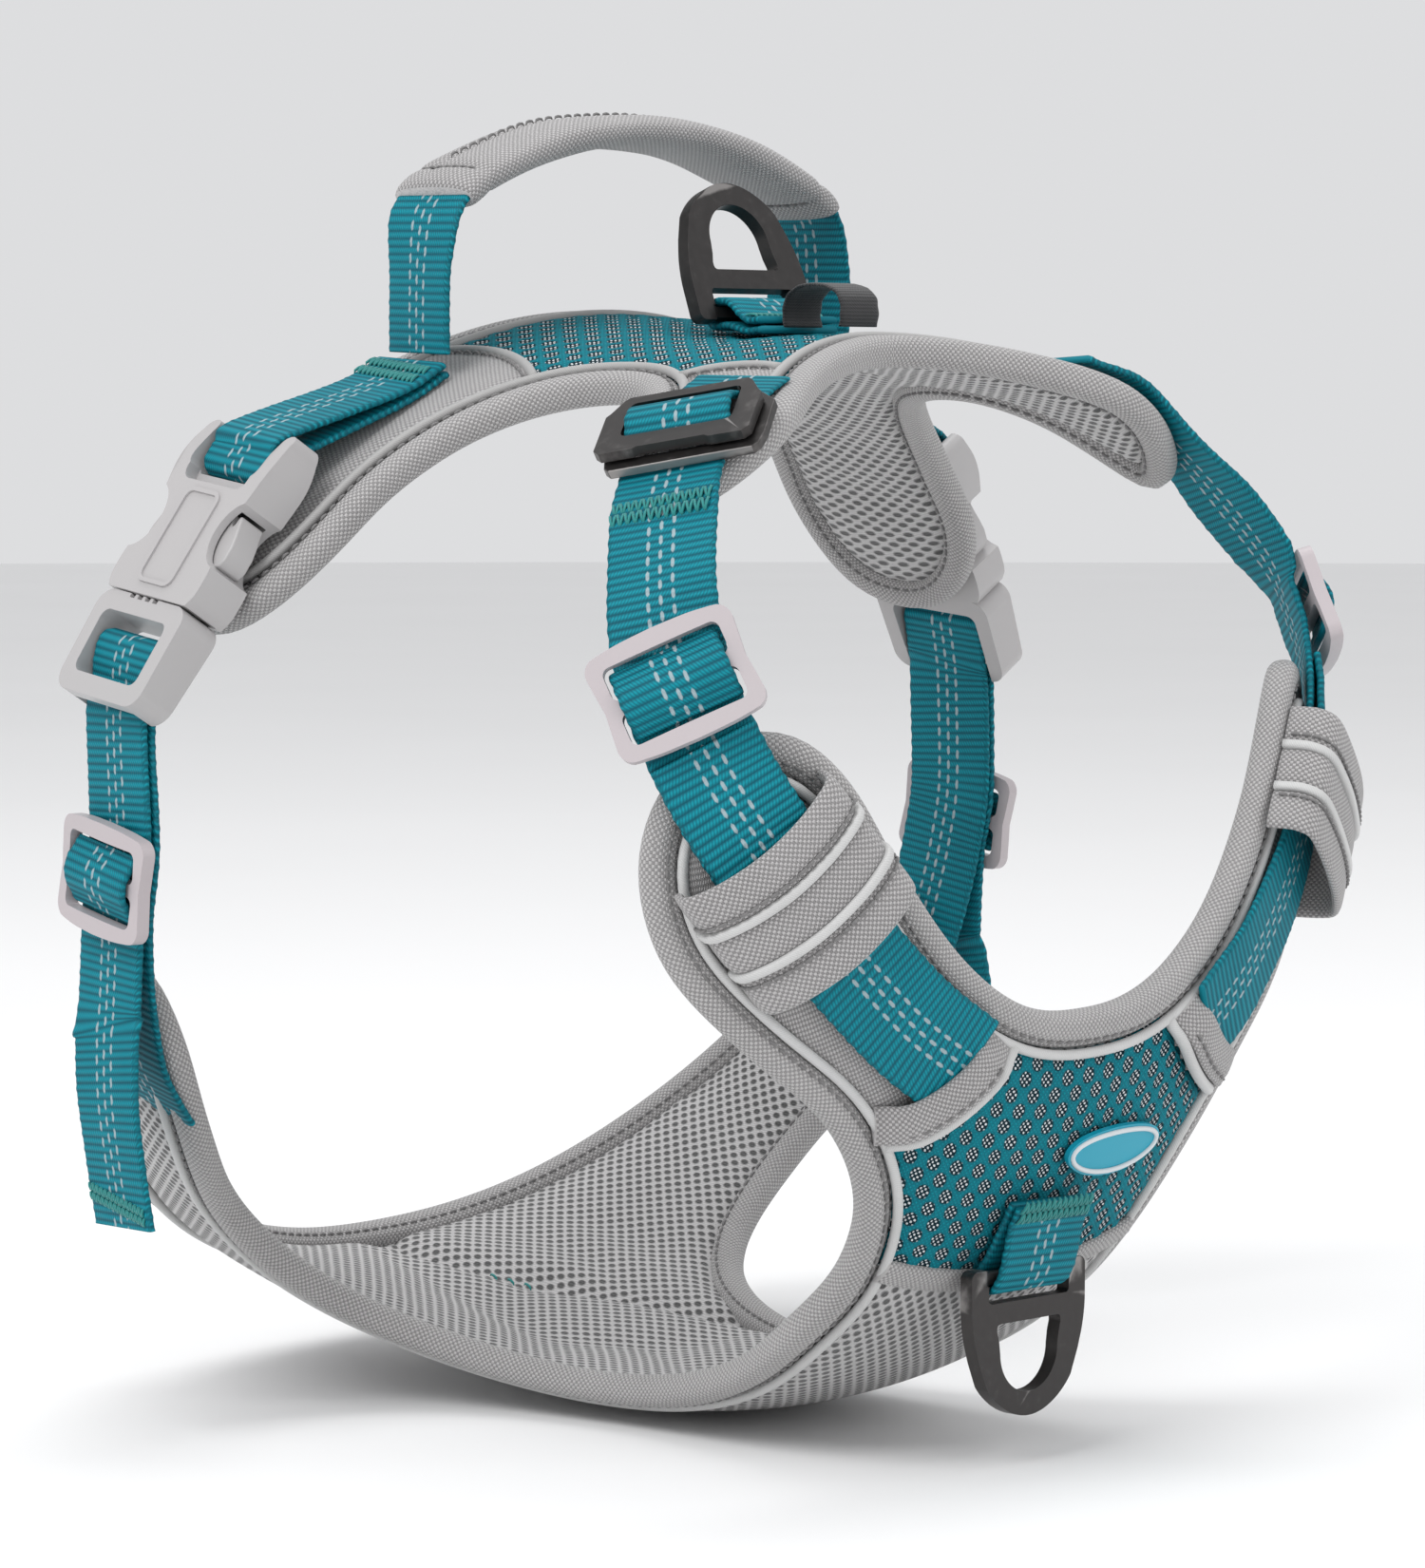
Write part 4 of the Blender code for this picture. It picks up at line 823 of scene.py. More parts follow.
def stitch_mesh(name, rows, length=2.4 * MM, radius=0.36 * MM):
    """Thread stitches that dip into the fabric at both ends, from rows (centres, along, normals)."""
    centres, along, normals = (np.concatenate([row[i] for row in rows]) for i in range(3))
    side = unit(np.cross(along, normals))
    reach = np.array((-0.5, -0.38, 0.0, 0.38, 0.5)) * length
    sizes = np.array((0.45, 0.95, 1.05, 0.95, 0.45)) * radius
    rises = np.array((-1.3, 0.5, 1.0, 0.5, -1.3)) * radius
    turns = np.arange(6) * pi / 3
    rings = (centres[:, None] + along[:, None] * reach[:, None] + normals[:, None] * rises[:, None])
    rows = rings[:, :, None] + np.stack([
        np.cos(a) * side[:, None] * sizes[:, None] + np.sin(a) * normals[:, None] * sizes[:, None]
        for a in turns], 2)
    count = len(centres)
    i = np.arange(4)[:, None]
    k = np.arange(6)[None]
    after = (k + 1) % 6
    one = np.stack([i * 6 + k, i * 6 + after, (i + 1) * 6 + after, (i + 1) * 6 + k], -1).reshape(-1, 4)
    base = (np.arange(count) * 30)[:, None]
    faces = (one[None] + base[..., None]).reshape(-1, 4).tolist()
    caps = np.stack([np.arange(6)[::-1], 24 + np.arange(6)])
    faces += (caps[None] + base[..., None]).reshape(-1, 6).tolist()
    mesh = bpy.data.meshes.new(name)
    mesh.from_pydata(rows.reshape(-1, 3).tolist(), [], faces)
    fix_normals(mesh)
    return mesh


def stitch_row(points, normals, period, closed):
    """Stitches at even distances along a path, as arrays (centres, along, normals)."""
    rows = resampled(np.concatenate([points, normals], 1), period, closed)
    if not closed:
        rows = rows[1:-1]
        if len(rows) < 3:
            return None
    return rows[:, :3], unit(direction(rows[:, :3], closed)), unit(rows[:, 3:])


class Sewing:
    """Collects rows of stitches of one thread on one body."""

    def __init__(self):
        self.rows = []

    def row(self, points, normals, period=STITCH_PERIOD, closed=False):
        found = stitch_row(points, normals, period, closed)
        if found:
            self.rows.append(found)

    def on_surface(self, curve, lift):
        t, angle = curve.T
        self.row(on_torso(t, angle, np.broadcast_to(lift, t.shape)), outward(t, angle))

    def piece(self, name, body):
        add(name, stitch_mesh(name, self.rows), THREAD, body)


TACK_PERIOD = 0.9 * MM


def bar_tack(centre, across, run, normal, width=24 * MM):
    """Dense zigzag of thread over webbing, as stitch arrays."""
    across, run, normal = unit(np.array(across)), unit(np.array(run)), unit(np.array(normal))
    k = np.arange(int(width / TACK_PERIOD))
    offset = (k + 0.5) * TACK_PERIOD - width / 2
    lean = np.where(k % 2 == 0, 1.0, -1.0)
    centres = np.array(centre) + offset[:, None] * across
    along = unit(run[None] + across[None] * (lean * 0.22)[:, None])
    return centres, along, np.broadcast_to(normal, centres.shape).copy()


THREADS = Sewing()
TACKS = []
TAIL_TACKS = {"right": [], "left": []}


def tack(centre, across, run, normal, **size):
    TACKS.append(bar_tack(centre, across, run, normal, **size))


# ---------------------------------------------------------------- the two pads

BINDING_HALF, BINDING_THICK = 4.05 * MM, 3.75 * MM
GROOVE_IN, GROOVE_UP = 2.15 * MM, 3.1 * MM
FABRIC = 1.1 * MM
KEEL_WIDTH, KEEL_END, KEEL_THREAD_LIFT = 4.5 * MM, 0.30, -6.6 * MM
CREASE_T = 0.19
FINE = 4.4 * MM


def rounding(far, reach):
    part = np.clip(far / reach, 0, 1)
    return np.sqrt(1 - (1 - part) ** 2)


def keel_angle(t):
    """Where the lining of the belly plate folds: along the keel, then off to the left armhole."""
    return 178 - 62 * np.clip(t + 0.07, 0, 1)


def padding(name, curve, middle, nodes, puff, creases=(), keel=0.0):
    """The foam body in its mesh lining, swollen towards the dog between its sewn lines."""
    places, faces, far = triangulated(rim_path(curve, 6.2 * MM), FINE)
    faces, places, far = compacted(faces, places, far)
    t, angle = places.T
    count = len(places)
    swell = rounding(far, 12 * MM)
    inner = on_torso(t, angle, -4.6 * MM - 3.0 * MM * swell)
    outer = on_torso(t, angle, np.full(count, -3.0 * MM))
    rim = {pair for face in faces for pair in zip(face, face[1:] + face[:1])}
    walls = [(i, j, count + j, count + i) for i, j in rim if (j, i) not in rim]
    mesh = bpy.data.meshes.new(name)
    mesh.from_pydata(np.concatenate([outer, inner]).tolist(), [],
                     faces + [[count + i for i in reversed(face)] for face in faces]
                     + [wall[::-1] for wall in walls])
    fix_normals(mesh)
    u, v = pattern_uv(mesh, t, angle, middle)
    pinned = np.concatenate([np.ones(count, bool), far < 1.5 * MM])
    simulated(mesh, pinned, 4.0, puff)
    rise = np.zeros(count)
    for crease_t, low, high, depth, width in creases:
        off = (t - crease_t) * CREASE_T / width
        beyond = np.maximum(0, np.maximum(low - angle, angle - high)) / 4.0
        rise += depth * np.exp(-off ** 2 - beyond ** 2)
    if keel:
        off = (angle - keel_angle(t)) * FLAT_ANGLE / KEEL_WIDTH
        rise += keel * np.exp(-off ** 2) * np.clip((KEEL_END - t) / 0.08, 0, 1)
    rise += 0.35 * MM * np.sin(u / 19 + 1) * np.sin(v / 23) * swell
    points = points_of(mesh)
    points[count:] += outward(t, angle) * rise[:, None]
    mesh.vertices.foreach_set("co", points.ravel())
    obj = add(name, mesh, LINING, "harness", nodes)
    smoothed(obj)


def covers(curve, split, spacing):
    """Outer fabric of a pad, cut into pieces: split gives each place a piece's number."""
    places, faces, far = triangulated(rim_path(curve, 8.6 * MM), spacing)
    centres = np.array([places[list(face)].mean(0) for face in faces])
    owner = split(centres[:, 0], centres[:, 1])
    pieces = {}
    for number in sorted(set(owner.tolist())):
        pieces[number] = [face for face, mine in zip(faces, owner) if mine == number]
    return places, pieces, far


def flower_relief(t, angle, middle):
    """Dimples of the teal knit, under its clusters of flecks."""
    u, v = surface_uv(t, angle, middle)
    nearest = None
    for shift in (0.0, 0.5):
        du, dv = (((x / pitch + shift) % 1 - 0.5) * pitch for x, pitch in zip((u, v), KNIT_PITCH))
        far = du ** 2 + dv ** 2
        nearest = far if nearest is None else np.minimum(nearest, far)
    return -0.75 * MM * np.exp(-nearest / 4.2)


def cover_piece(name, places, faces, far, middle, material, nodes, relief=False):
    """One outer fabric of a pad, rounded down to the rim and dimpled where it's the teal knit."""
    t, angle = places.T
    lift = -2.6 * MM + 2.4 * MM * rounding(far, 9 * MM)
    if relief:
        lift = lift + flower_relief(t, angle, middle) * rounding(far, 6 * MM)
    obj = add(name, sheet_mesh(name, places, faces, lift, middle), material, "harness", nodes)
    solid = obj.modifiers.new("Fabric", "SOLIDIFY")
    solid.thickness = FABRIC
    solid.offset = -1
    if not relief:
        smoothed(obj)


def edge_trim(label, curve, cord):
    """Folded binding with its two rows of stitches, and the piping cord inside it."""
    path = rim_path(curve, BINDING_RADIUS)
    section = binding_section(BINDING_HALF, BINDING_THICK, 0.12)
    mesh = rolled(label + "_binding_roll", path, -BINDING_RADIUS, section, waves=0.035)
    add(label + "_binding_roll", mesh, ROLL_WEAVE, "harness", (label + "_binding",))
    centres, inward, out = surface_frames(path, -BINDING_RADIUS, True)
    for face in (-1, 1):
        points = centres + inward * GROOVE_IN + out * (GROOVE_UP * face)
        THREADS.row(points, unit(inward * 0.3 + out * face), closed=True)
    path = rim_path(curve, PIPING_INSET)
    mesh = rolled(label + "_piping_cord", path, -0.75 * MM, round_section(1.2 * MM, 12), waves=0.02)
    add(label + "_piping_cord", mesh, cord, "harness", (label + "_piping",))


def kept_inside(curve, polygon):
    """The middle run of an open (t, angle) curve that lies inside a closed one."""
    scale = np.array((FLAT_T, FLAT_ANGLE))
    mask = inside_mask(polygon * scale, curve * scale)
    return curve[mask]


def sunk_ends(path, lift):
    """Lift along an open (t, angle) path that falls towards its ends."""
    places = torso(path[:, 0], path[:, 1])
    length = running_length(places)
    near_end = np.minimum(length, length[-1] - length)
    return lift - (lift + 0.5 * MM) * np.exp(-(near_end / (4.5 * MM)) ** 2)


def seam_piping(name, curve, polygon, radius, lift, material):
    """Short piping cord sewn along a seam, from edge to edge of a pad; gives its path."""
    path = even_curve(kept_inside(curve, polygon), 2.5 * MM, False)
    mesh = rolled(name, path, sunk_ends(path, lift), round_section(radius, 12), closed=False)
    add(name, mesh, material, "harness")
    return path


BACK_CURVE = panel_curve(BACK_OUTLINE, 0, 3.0 * MM)
CHEST_CURVE = panel_curve(CHEST_OUTLINE, 180, 3.0 * MM)
BACK_SEAMS = {"front": (0.93, 0.22), "rear": (0.12, 0.26)}


def back_seam_angle(t):
    """Angle from the spine at which the mesh centre meets the woven arms."""
    middle, half = (np.where(t > 0.5, BACK_SEAMS["front"][k], BACK_SEAMS["rear"][k]) for k in (0, 1))
    return 21.5 + 5.0 * np.clip(((t - middle) / half) ** 2, 0, 1.5)


def back_split(t, angle):
    arm = np.abs(angle) > back_seam_angle(t)
    number = np.where(t > 0.5, 1, 3) + (angle > 0)
    return np.where(arm, number, 0)


def make_back_pad():
    padding("back_padding", BACK_CURVE, 0, ("back_lining", "back_foam"), 2.0 * MM,
            [(0.56, -14, 14, 1.2 * MM, 9 * MM)])
    edge_trim("back", BACK_CURVE, SEAM_PIPING)
    places, pieces, far = covers(BACK_CURVE, back_split, 2.0 * MM)
    cover_piece("back_knit_cover", places, pieces[0], far, 0, FLOWER, ("back_top_mesh",), True)
    arms = {1: "front_arm_{}_right", 2: "front_arm_{}_left", 3: "rear_arm_{}_right", 4: "rear_arm_{}_left"}
    for number, label in arms.items():
        cover_piece(label.format("fabric"), places, pieces[number], far, 0, WEAVE,
                    (label.format("cover"),))
    polygon = rim_path(BACK_CURVE, PIPING_INSET)
    for end, (middle, half) in BACK_SEAMS.items():
        for side, label in SIDES:
            t = np.linspace(middle - 1.25 * half, middle + 1.25 * half, 90)
            curve = np.stack([t, side * back_seam_angle(t)], 1)
            path = seam_piping("{}_seam_piping_{}".format(end, label), curve, polygon, 1.15 * MM, -0.1 * MM,
                               SEAM_PIPING)
            THREADS.on_surface(inset(path, side * 2.3 * MM, False), 0.1 * MM)


def pocket_arc(side, shift=0.0):
    """Curved mouth of the pocket in which a neck strap ends, as a (t, angle) curve."""
    (t0, a0), (t1, a1) = CHEST_SEAM
    start, end = np.array((t0 - 0.01, a0 - 11.0)), np.array((t1 + 0.03, a1 - 4.0))
    control = (start + end) / 2 + np.array((-0.095, 8.0))
    part = np.linspace(0, 1, 120)[:, None]
    curve = start * (1 - part) ** 2 + control * (2 * part * (1 - part)) + end * part ** 2
    if shift:
        curve = inset(curve, shift, False)
    curve[:, 1] *= side
    return curve


def beyond_pocket(t, angle, side):
    """True on the arm's side of the pocket's mouth."""
    arc_t, arc_angle = pocket_arc(1).T
    flipped = np.where(angle < 0, angle + 360, angle)
    here = flipped if side > 0 else 360 - flipped
    edge = np.interp(here, arc_angle, arc_t, left=-1, right=9)
    return (t > edge) & (here < arc_angle[-1])


def chest_split(t, angle):
    number = np.where(t < CHEST_HEM_T, 3, 0)
    upper = t >= CHEST_HEM_T
    number = np.where(upper & beyond_pocket(t, angle, 1), 1, number)
    return np.where(upper & beyond_pocket(t, angle, -1), 2, number)


def make_chest_pad():
    padding("chest_padding", CHEST_CURVE, 180, ("chest_lining", "chest_foam"), 4.2 * MM,
            [(0.68, 160, 200, 4.0 * MM, 6 * MM)], keel=5.6 * MM)
    for t in (-0.012, 0.0, 0.012):
        angle = keel_angle(t)
        tack(on_torso(t, angle, KEEL_THREAD_LIFT), tangents(t, angle)[1], tangents(t, angle)[0],
             -outward(t, angle), width=1.2 * MM)
    edge_trim("chest", CHEST_CURVE, PIPING)
    places, pieces, far = covers(CHEST_CURVE, chest_split, 2.0 * MM)
    cover_piece("breast_knit_cover", places, pieces[0], far, 180, FLOWER, ("chest_top_mesh",),
                True)
    for number, label in ((1, "left"), (2, "right")):
        cover_piece("chest_arm_fabric_" + label, places, pieces[number], far, 180, WEAVE,
                    ("chest_arm_cover_" + label,))
    cover_piece("belly_fabric", places, pieces[3], far, 180, LINING, ("belly_cover",))
    polygon = rim_path(CHEST_CURVE, PIPING_INSET - 0.6 * MM)
    for side, label in SIDES:
        unwrapped = polygon if side > 0 else np.stack([polygon[:, 0], polygon[:, 1] - 360], 1)
        seam_piping("pocket_piping_" + label, pocket_arc(side), unwrapped, 1.4 * MM, 2.3 * MM, PIPING)
        path = even_curve(kept_inside(pocket_arc(side, -6.1 * MM), unwrapped), 2.5 * MM, False)
        hem = binding_section(4.8 * MM, 1.5 * MM, 0.2)
        mesh = rolled("pocket_hem_" + label, path, sunk_ends(path, 3.3 * MM), hem, closed=False, waves=0.03)
        add("pocket_hem_" + label, mesh, WEAVE, "harness")
        line = kept_inside(pocket_arc(side, -3.4 * MM), unwrapped)
        THREADS.on_surface(line[5:-5], sunk_ends(line, 4.5 * MM)[5:-5])
    hem_angles = np.linspace(150, 210, 160)
    line = kept_inside(np.stack([np.full(160, CHEST_HEM_T), hem_angles], 1), polygon)
    mesh = rolled("breast_hem", line, -0.2 * MM, binding_section(3.2 * MM, 1.4 * MM, 0.15), closed=False)
    add("breast_hem", mesh, ROLL_WEAVE, "harness")


make_back_pad()
make_chest_pad()


# ---------------------------------------------------------------- webbing

LEFTWARD = np.array((0.0, 1.0, 0.0))


def ribbed_section(width, thick):
    """Half of a webbing's section points, as (x, z) pairs from edge to edge of its top face."""
    half, z = width / 2, thick / 2
    left = [(-half, 0.35 * z), (-half + 0.35 * MM, 0.8 * z), (-half + 1.1 * MM, z), (-half * 0.5, z)]
    return left + [(0.0, z)] + [(-x, h) for x, h in reversed(left)]


def webbing_mesh(name, stations, width=WEB_WIDTH, thick=WEB_THICK, ribs=0.11 * MM):
    """Ribbed webbing through rows (centre, across), with the ribs in its geometry."""
    rows = np.array([np.concatenate([c, a]) for c, a in stations], float)
    centres = smooth_path(rows, 10)
    spacing = RIB_PITCH / 4
    rows = resampled(centres, spacing)
    x, z = frames_along(rows[:, :3], rows[:, 3:])
    path = running_length(rows[:, :3])
    top = np.array(ribbed_section(width, thick))
    wave = ribs * np.sin(pi * path / RIB_PITCH) ** 2
    upper = np.repeat(top[None], len(rows), 0)
    upper[:, 1:-1, 1] += wave[:, None] - ribs / 2
    edge = 0.12 * MM * np.sin(2 * pi * path / (2 * RIB_PITCH))
    upper[:, :, 0] += np.sign(top[:, 0]) * (np.abs(top[:, 0]) > width * 0.4) * edge[:, None]
    lower = upper[:, ::-1].copy()
    lower[:, :, 1] *= -1
    section = np.concatenate([upper, lower], 1)
    rings = rows[:, None, :3] + x[:, None] * section[..., :1] + z[:, None] * section[..., 1:]
    flat = np.concatenate([top[:, 0], top[::-1, 0]]) / MM
    uv_u = np.concatenate([flat, flat[:1]])
    return grid_mesh(name, rings, uv_u, np.append(path, path[-1]) / MM)


def surface_stations(places):
    return [(on_torso(*p), tangents(p[0], p[1])[0]) for p in places]


def local_stations(matrix, places):
    across = matrix.to_3x3() @ Vector((1, 0, 0))
    return [(np.array(matrix @ Vector((0, y, z))), np.array(across)) for y, z in places]


def evened(stations, spacing=6 * MM):
    """Stations at even distances, their across directions blurred along the strap."""
    centres = np.array([c for c, _ in stations], float)
    fine = smooth_path(centres, 12)
    length = np.linalg.norm(np.diff(fine, axis=0), axis=1).sum()
    path = resampled(fine, min(spacing, length / 8))
    nearest = [int(((centres - p) ** 2).sum(1).argmin()) for p in path]
    across = unit(np.array([stations[k][1] for k in nearest], float))
    for _ in range(3):
        across = unit(eased_curve(across, False))
    return list(zip(path, across))


def turned(stations, ahead):
    """Makes every across direction agree with the first."""
    return [(c, a if np.dot(a, ahead) > 0 else -np.array(a)) for c, a in stations]


def strap(name, stations, body, node, spacing=5 * MM, **size):
    mesh = webbing_mesh(name, evened(turned(stations, stations[0][1]), spacing), **size)
    add(name, mesh, WEB, body, (node,))


def surface_tack(t, angle, lift):
    along, around = tangents(t, angle)
    tack(on_torso(t, angle, lift), along, around, outward(t, angle))


def buckle_frame(side):
    frame_at = seat(BUCKLE_T, side * BUCKLE_ANGLE, BUCKLE_LIFT)
    return frame_at @ Matrix.Translation((0, -PARTING_DROP, 0))


def wrap_about(y, start, end):
    """Places round a buckle's bar, every 20 degrees."""
    return arc((y, 0), WRAP_RADIUS, start, end, (end - start) // 20)


def make_girth(side, label):
    place = buckle_frame(side)
    t = GIRTH_T
    upper = surface_stations([(t, side * 28.5, PLY_2), (t, side * 34, PLY_2 + 0.6 * MM)])
    upper += local_stations(place, [(47 * MM, 2.0 * MM), (42.5 * MM, 2.9 * MM)])
    turn = wrap_about(SOCKET_BAR_Y, 80, 280)
    lower = local_stations(place, [(42.5 * MM, -3.4 * MM), (47 * MM, -4.6 * MM)])
    lower += surface_stations([(t, side * 34, PLY_1 + 0.2 * MM), (t, side * 28.5, PLY_1)])
    strap("buckle_loop_" + label, upper + local_stations(place, turn) + lower, "harness",
          "buckle_webbing_" + label, 2.2 * MM)
    for angle in (30.0, 31.6):
        surface_tack(t, side * angle, PLY_TOP + 0.15 * MM)

    angle = GIRTH_SLIDER_ANGLE
    inner = surface_stations([(t, side * 117.5, -1.8 * MM), (t, side * 115, -0.6 * MM)])
    inner += surface_stations([(t, side * a, PLY_1) for a in (110.5, 105, 100, angle + 3, angle - 4)])
    inner += local_stations(place, [(-27 * MM, -6.6 * MM), (-19 * MM, -4.4 * MM)])
    turn = wrap_about(PLUG_BAR_Y, -100, 100)
    outer = local_stations(place, [(-16.5 * MM, 1.4 * MM), (-21 * MM, -1.4 * MM), (-27 * MM, -3.9 * MM)])
    outer += surface_stations([(t, side * (angle - 4), PLY_2), (t, side * (angle + 0.4), PLY_2)])
    stations = turned(inner + local_stations(place, turn) + outer, inner[0][1])
    mesh = webbing_mesh("girth_webbing_" + label, evened(stations, 2.2 * MM))
    obj = add("girth_webbing_" + label, mesh, WEB, None,
              ("girth_strap_" + label, "belly_strap_" + label))
    start, end = (on_torso(t, side * a, PLY_1) for a in (117, 100))
    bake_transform(obj)

    across = tangents(t, side * angle)[0]
    drop = surface_stations([(t, side * (angle + 0.5), PLY_2), (t, side * (angle + 4), PLY_2 + 0.2 * MM)])
    drop += [(np.array((x, side * y, z)), across) for x, y, z in TAIL_POINTS[1:]]
    strap("girth_tail_webbing_" + label, drop, "girth_" + label, "girth_tail_" + label, 2.5 * MM)
    low = np.array(drop[-2][0]) * 0.3 + np.array(drop[-1][0]) * 0.7
    run = np.array(drop[-1][0]) - np.array(drop[-2][0])
    normal = unit(np.cross(run, across)) * side
    normal *= np.sign((normal * np.array((0, side, 0))).sum()) or 1
    for back in (0.0, 2.2 * MM):
        place = low - unit(run) * back + normal * 0.95 * MM
        TAIL_TACKS[label].append(bar_tack(place, across, run, normal))


def make_neck(side, label):
    top = 50.5 if side < 0 else 30.0
    t = NECK_T
    angles = [top, 0.6 * top + 28, 76, 89, 101, 112, 124, 136, 148, 158]
    shift = [-0.03, -0.015, 0, 0, 0, -0.005, -0.015, -0.03, -0.055, -0.075]
    lifts = [PLY_1 + (1.6 if side > 0 and a < 52 else 0.4) * MM for a in angles]
    places = [(t + dt, side * a, lift) for dt, a, lift in zip(shift, angles, lifts)]
    strap("neck_webbing_" + label, surface_stations(places), "harness", "neck_strap_" + label)
    ends = ((0, 99.2, 0.4), (0.002, 106, 0.5), (0.006, 114, 0.8), (0.012, 121, 0.9))
    tail = [(t - dt, side * a, PLY_2 + lift * MM) for dt, a, lift in ends]
    strap("neck_tail_webbing_" + label, surface_stations(tail), "harness", "neck_tail_" + label)
    if side < 0:
        run = unit(on_torso(t, -70, PLY_1) - on_torso(t - 0.025, -53, PLY_1))
        for angle in (-57.5, -59.5):
            out = outward(t, angle)
            centre = on_torso(t - 0.016, angle, PLY_1 + WEB_THICK / 2 + 0.55 * MM)
            tack(centre, np.cross(out, run), run, out)


def ring_loop(name, node, t, angle, up, out, ends, rise):
    """Webbing loop round a ring's base bar, sewn down at two places along the torso."""
    axis = on_torso(t, angle, RING_AXIS_LIFT)
    near, far = ends
    turn = [axis + up * x + out * z for x, z in arc((0, 0), RING_WRAP, 100, 260, 8)]
    over = [on_torso(far, angle, PLY_2), on_torso(near, angle, PLY_2 + rise),
            axis + (up * 4 + out * 2.6) * MM]
    under = [axis + (up * 4 - out * 2.7) * MM, on_torso(near, angle, PLY_1), on_torso(far, angle, PLY_1)]
    strap(name, [(p, LEFTWARD) for p in over + turn + under], "harness", node, 1.6 * MM)


def make_loops():
    """Webbing loops of the two leash rings, and the metal buckle's feed."""
    ring_loop("top_ring_webbing", "top_leash_loop", TOP_RING_T, 0, np.array((1, 0, 0)), np.array((0, 0, 1)),
              (0.60, 0.66), 0.4 * MM)
    run = unit(torso(0.625, 0) - torso(0.605, 0))
    tack(on_torso(0.615, 0, PLY_TOP + 0.35 * MM), LEFTWARD, run, outward(0.615, 0))
    angle = CHEST_RING_ANGLE
    up = unit(torso(0.80, angle) - torso(0.74, angle))
    ring_loop("chest_ring_webbing", "chest_leash_loop", CHEST_RING_T, angle, up,
              outward(CHEST_RING_T, angle), (0.80, 0.822), 0.2 * MM)
    for t in (0.815, 0.826):
        tack(on_torso(t, angle, PLY_TOP + 0.15 * MM), LEFTWARD, up, outward(t, angle))
    feed = [(0.97, -27.5, 0.9 * MM), (0.97, -31, 0.9 * MM), (0.97, -34.5, 1.0 * MM)]
    strap("neck_feed_webbing", surface_stations(feed), "harness", "neck_buckle_webbing", thick=1.2 * MM)


def make_tab():
    """Arched tab of black ribbon."""
    base = on_torso(0.775, 0, 0.0)
    arch = [(-9.0, 1.2), (-9.6, 4.0), (-8.6, 8.0), (-5.0, 10.4), (0.0, 10.9), (5.0, 10.2), (8.4, 8.0),
            (9.2, 4.0), (8.6, 1.2)]
    stations = [(base + np.array((x, 0, z)) * MM, LEFTWARD) for x, z in arch]
    mesh = webbing_mesh("ribbon_tab", evened(stations, 1.6 * MM), 12.5 * MM, 0.9 * MM, 0.05 * MM)
    add("ribbon_tab", mesh, RIBBON, "harness", ("label_tab",))


for dog_side, side_label in SIDES:
    make_girth(dog_side, side_label)
    make_neck(dog_side, side_label)
make_loops()
make_tab()


# ---------------------------------------------------------------- humps, keepers and handle

def local_strap(name, place, points, body, node, spacing=1.8 * MM):
    strap(name, local_stations(place, [(y * MM, z * MM) for y, z in points]), body, node, spacing)


def slider_seat(kind, side):
    if kind == "girth":
        return seat(GIRTH_T, side * GIRTH_SLIDER_ANGLE, SLIDER_LIFT)
    return seat(NECK_T, side * NECK_SLIDER_ANGLE, SLIDER_LIFT) @ Matrix.Rotation(radians(-7.0 * side), 4, "Z")


def make_hump(kind, side, label):
    """Webbing that rides over a slider's centre bar."""
    place = slider_seat(kind, side)
    foot = (PLY_TOP + 0.3 * MM + WEB_THICK / 2 + 0.25 * MM - SLIDER_LIFT) / MM
    crown = (SLIDER_THICK / 2 + 0.3 * MM + WEB_THICK / 2 + 0.1 * MM) / MM
    half = [(-7.4, foot), (-6.2, foot + 0.7), (-4.0, crown - 1.0), (-2.0, crown + 0.1)]
    hump = half + [(0, crown + 0.25)] + [(-y, z) for y, z in reversed(half)]
    local_strap("{}_hump_webbing_{}".format(kind, label), place, hump, "{}_adjuster_{}".format(kind, label),
                "{}_hump_{}".format(kind, label))


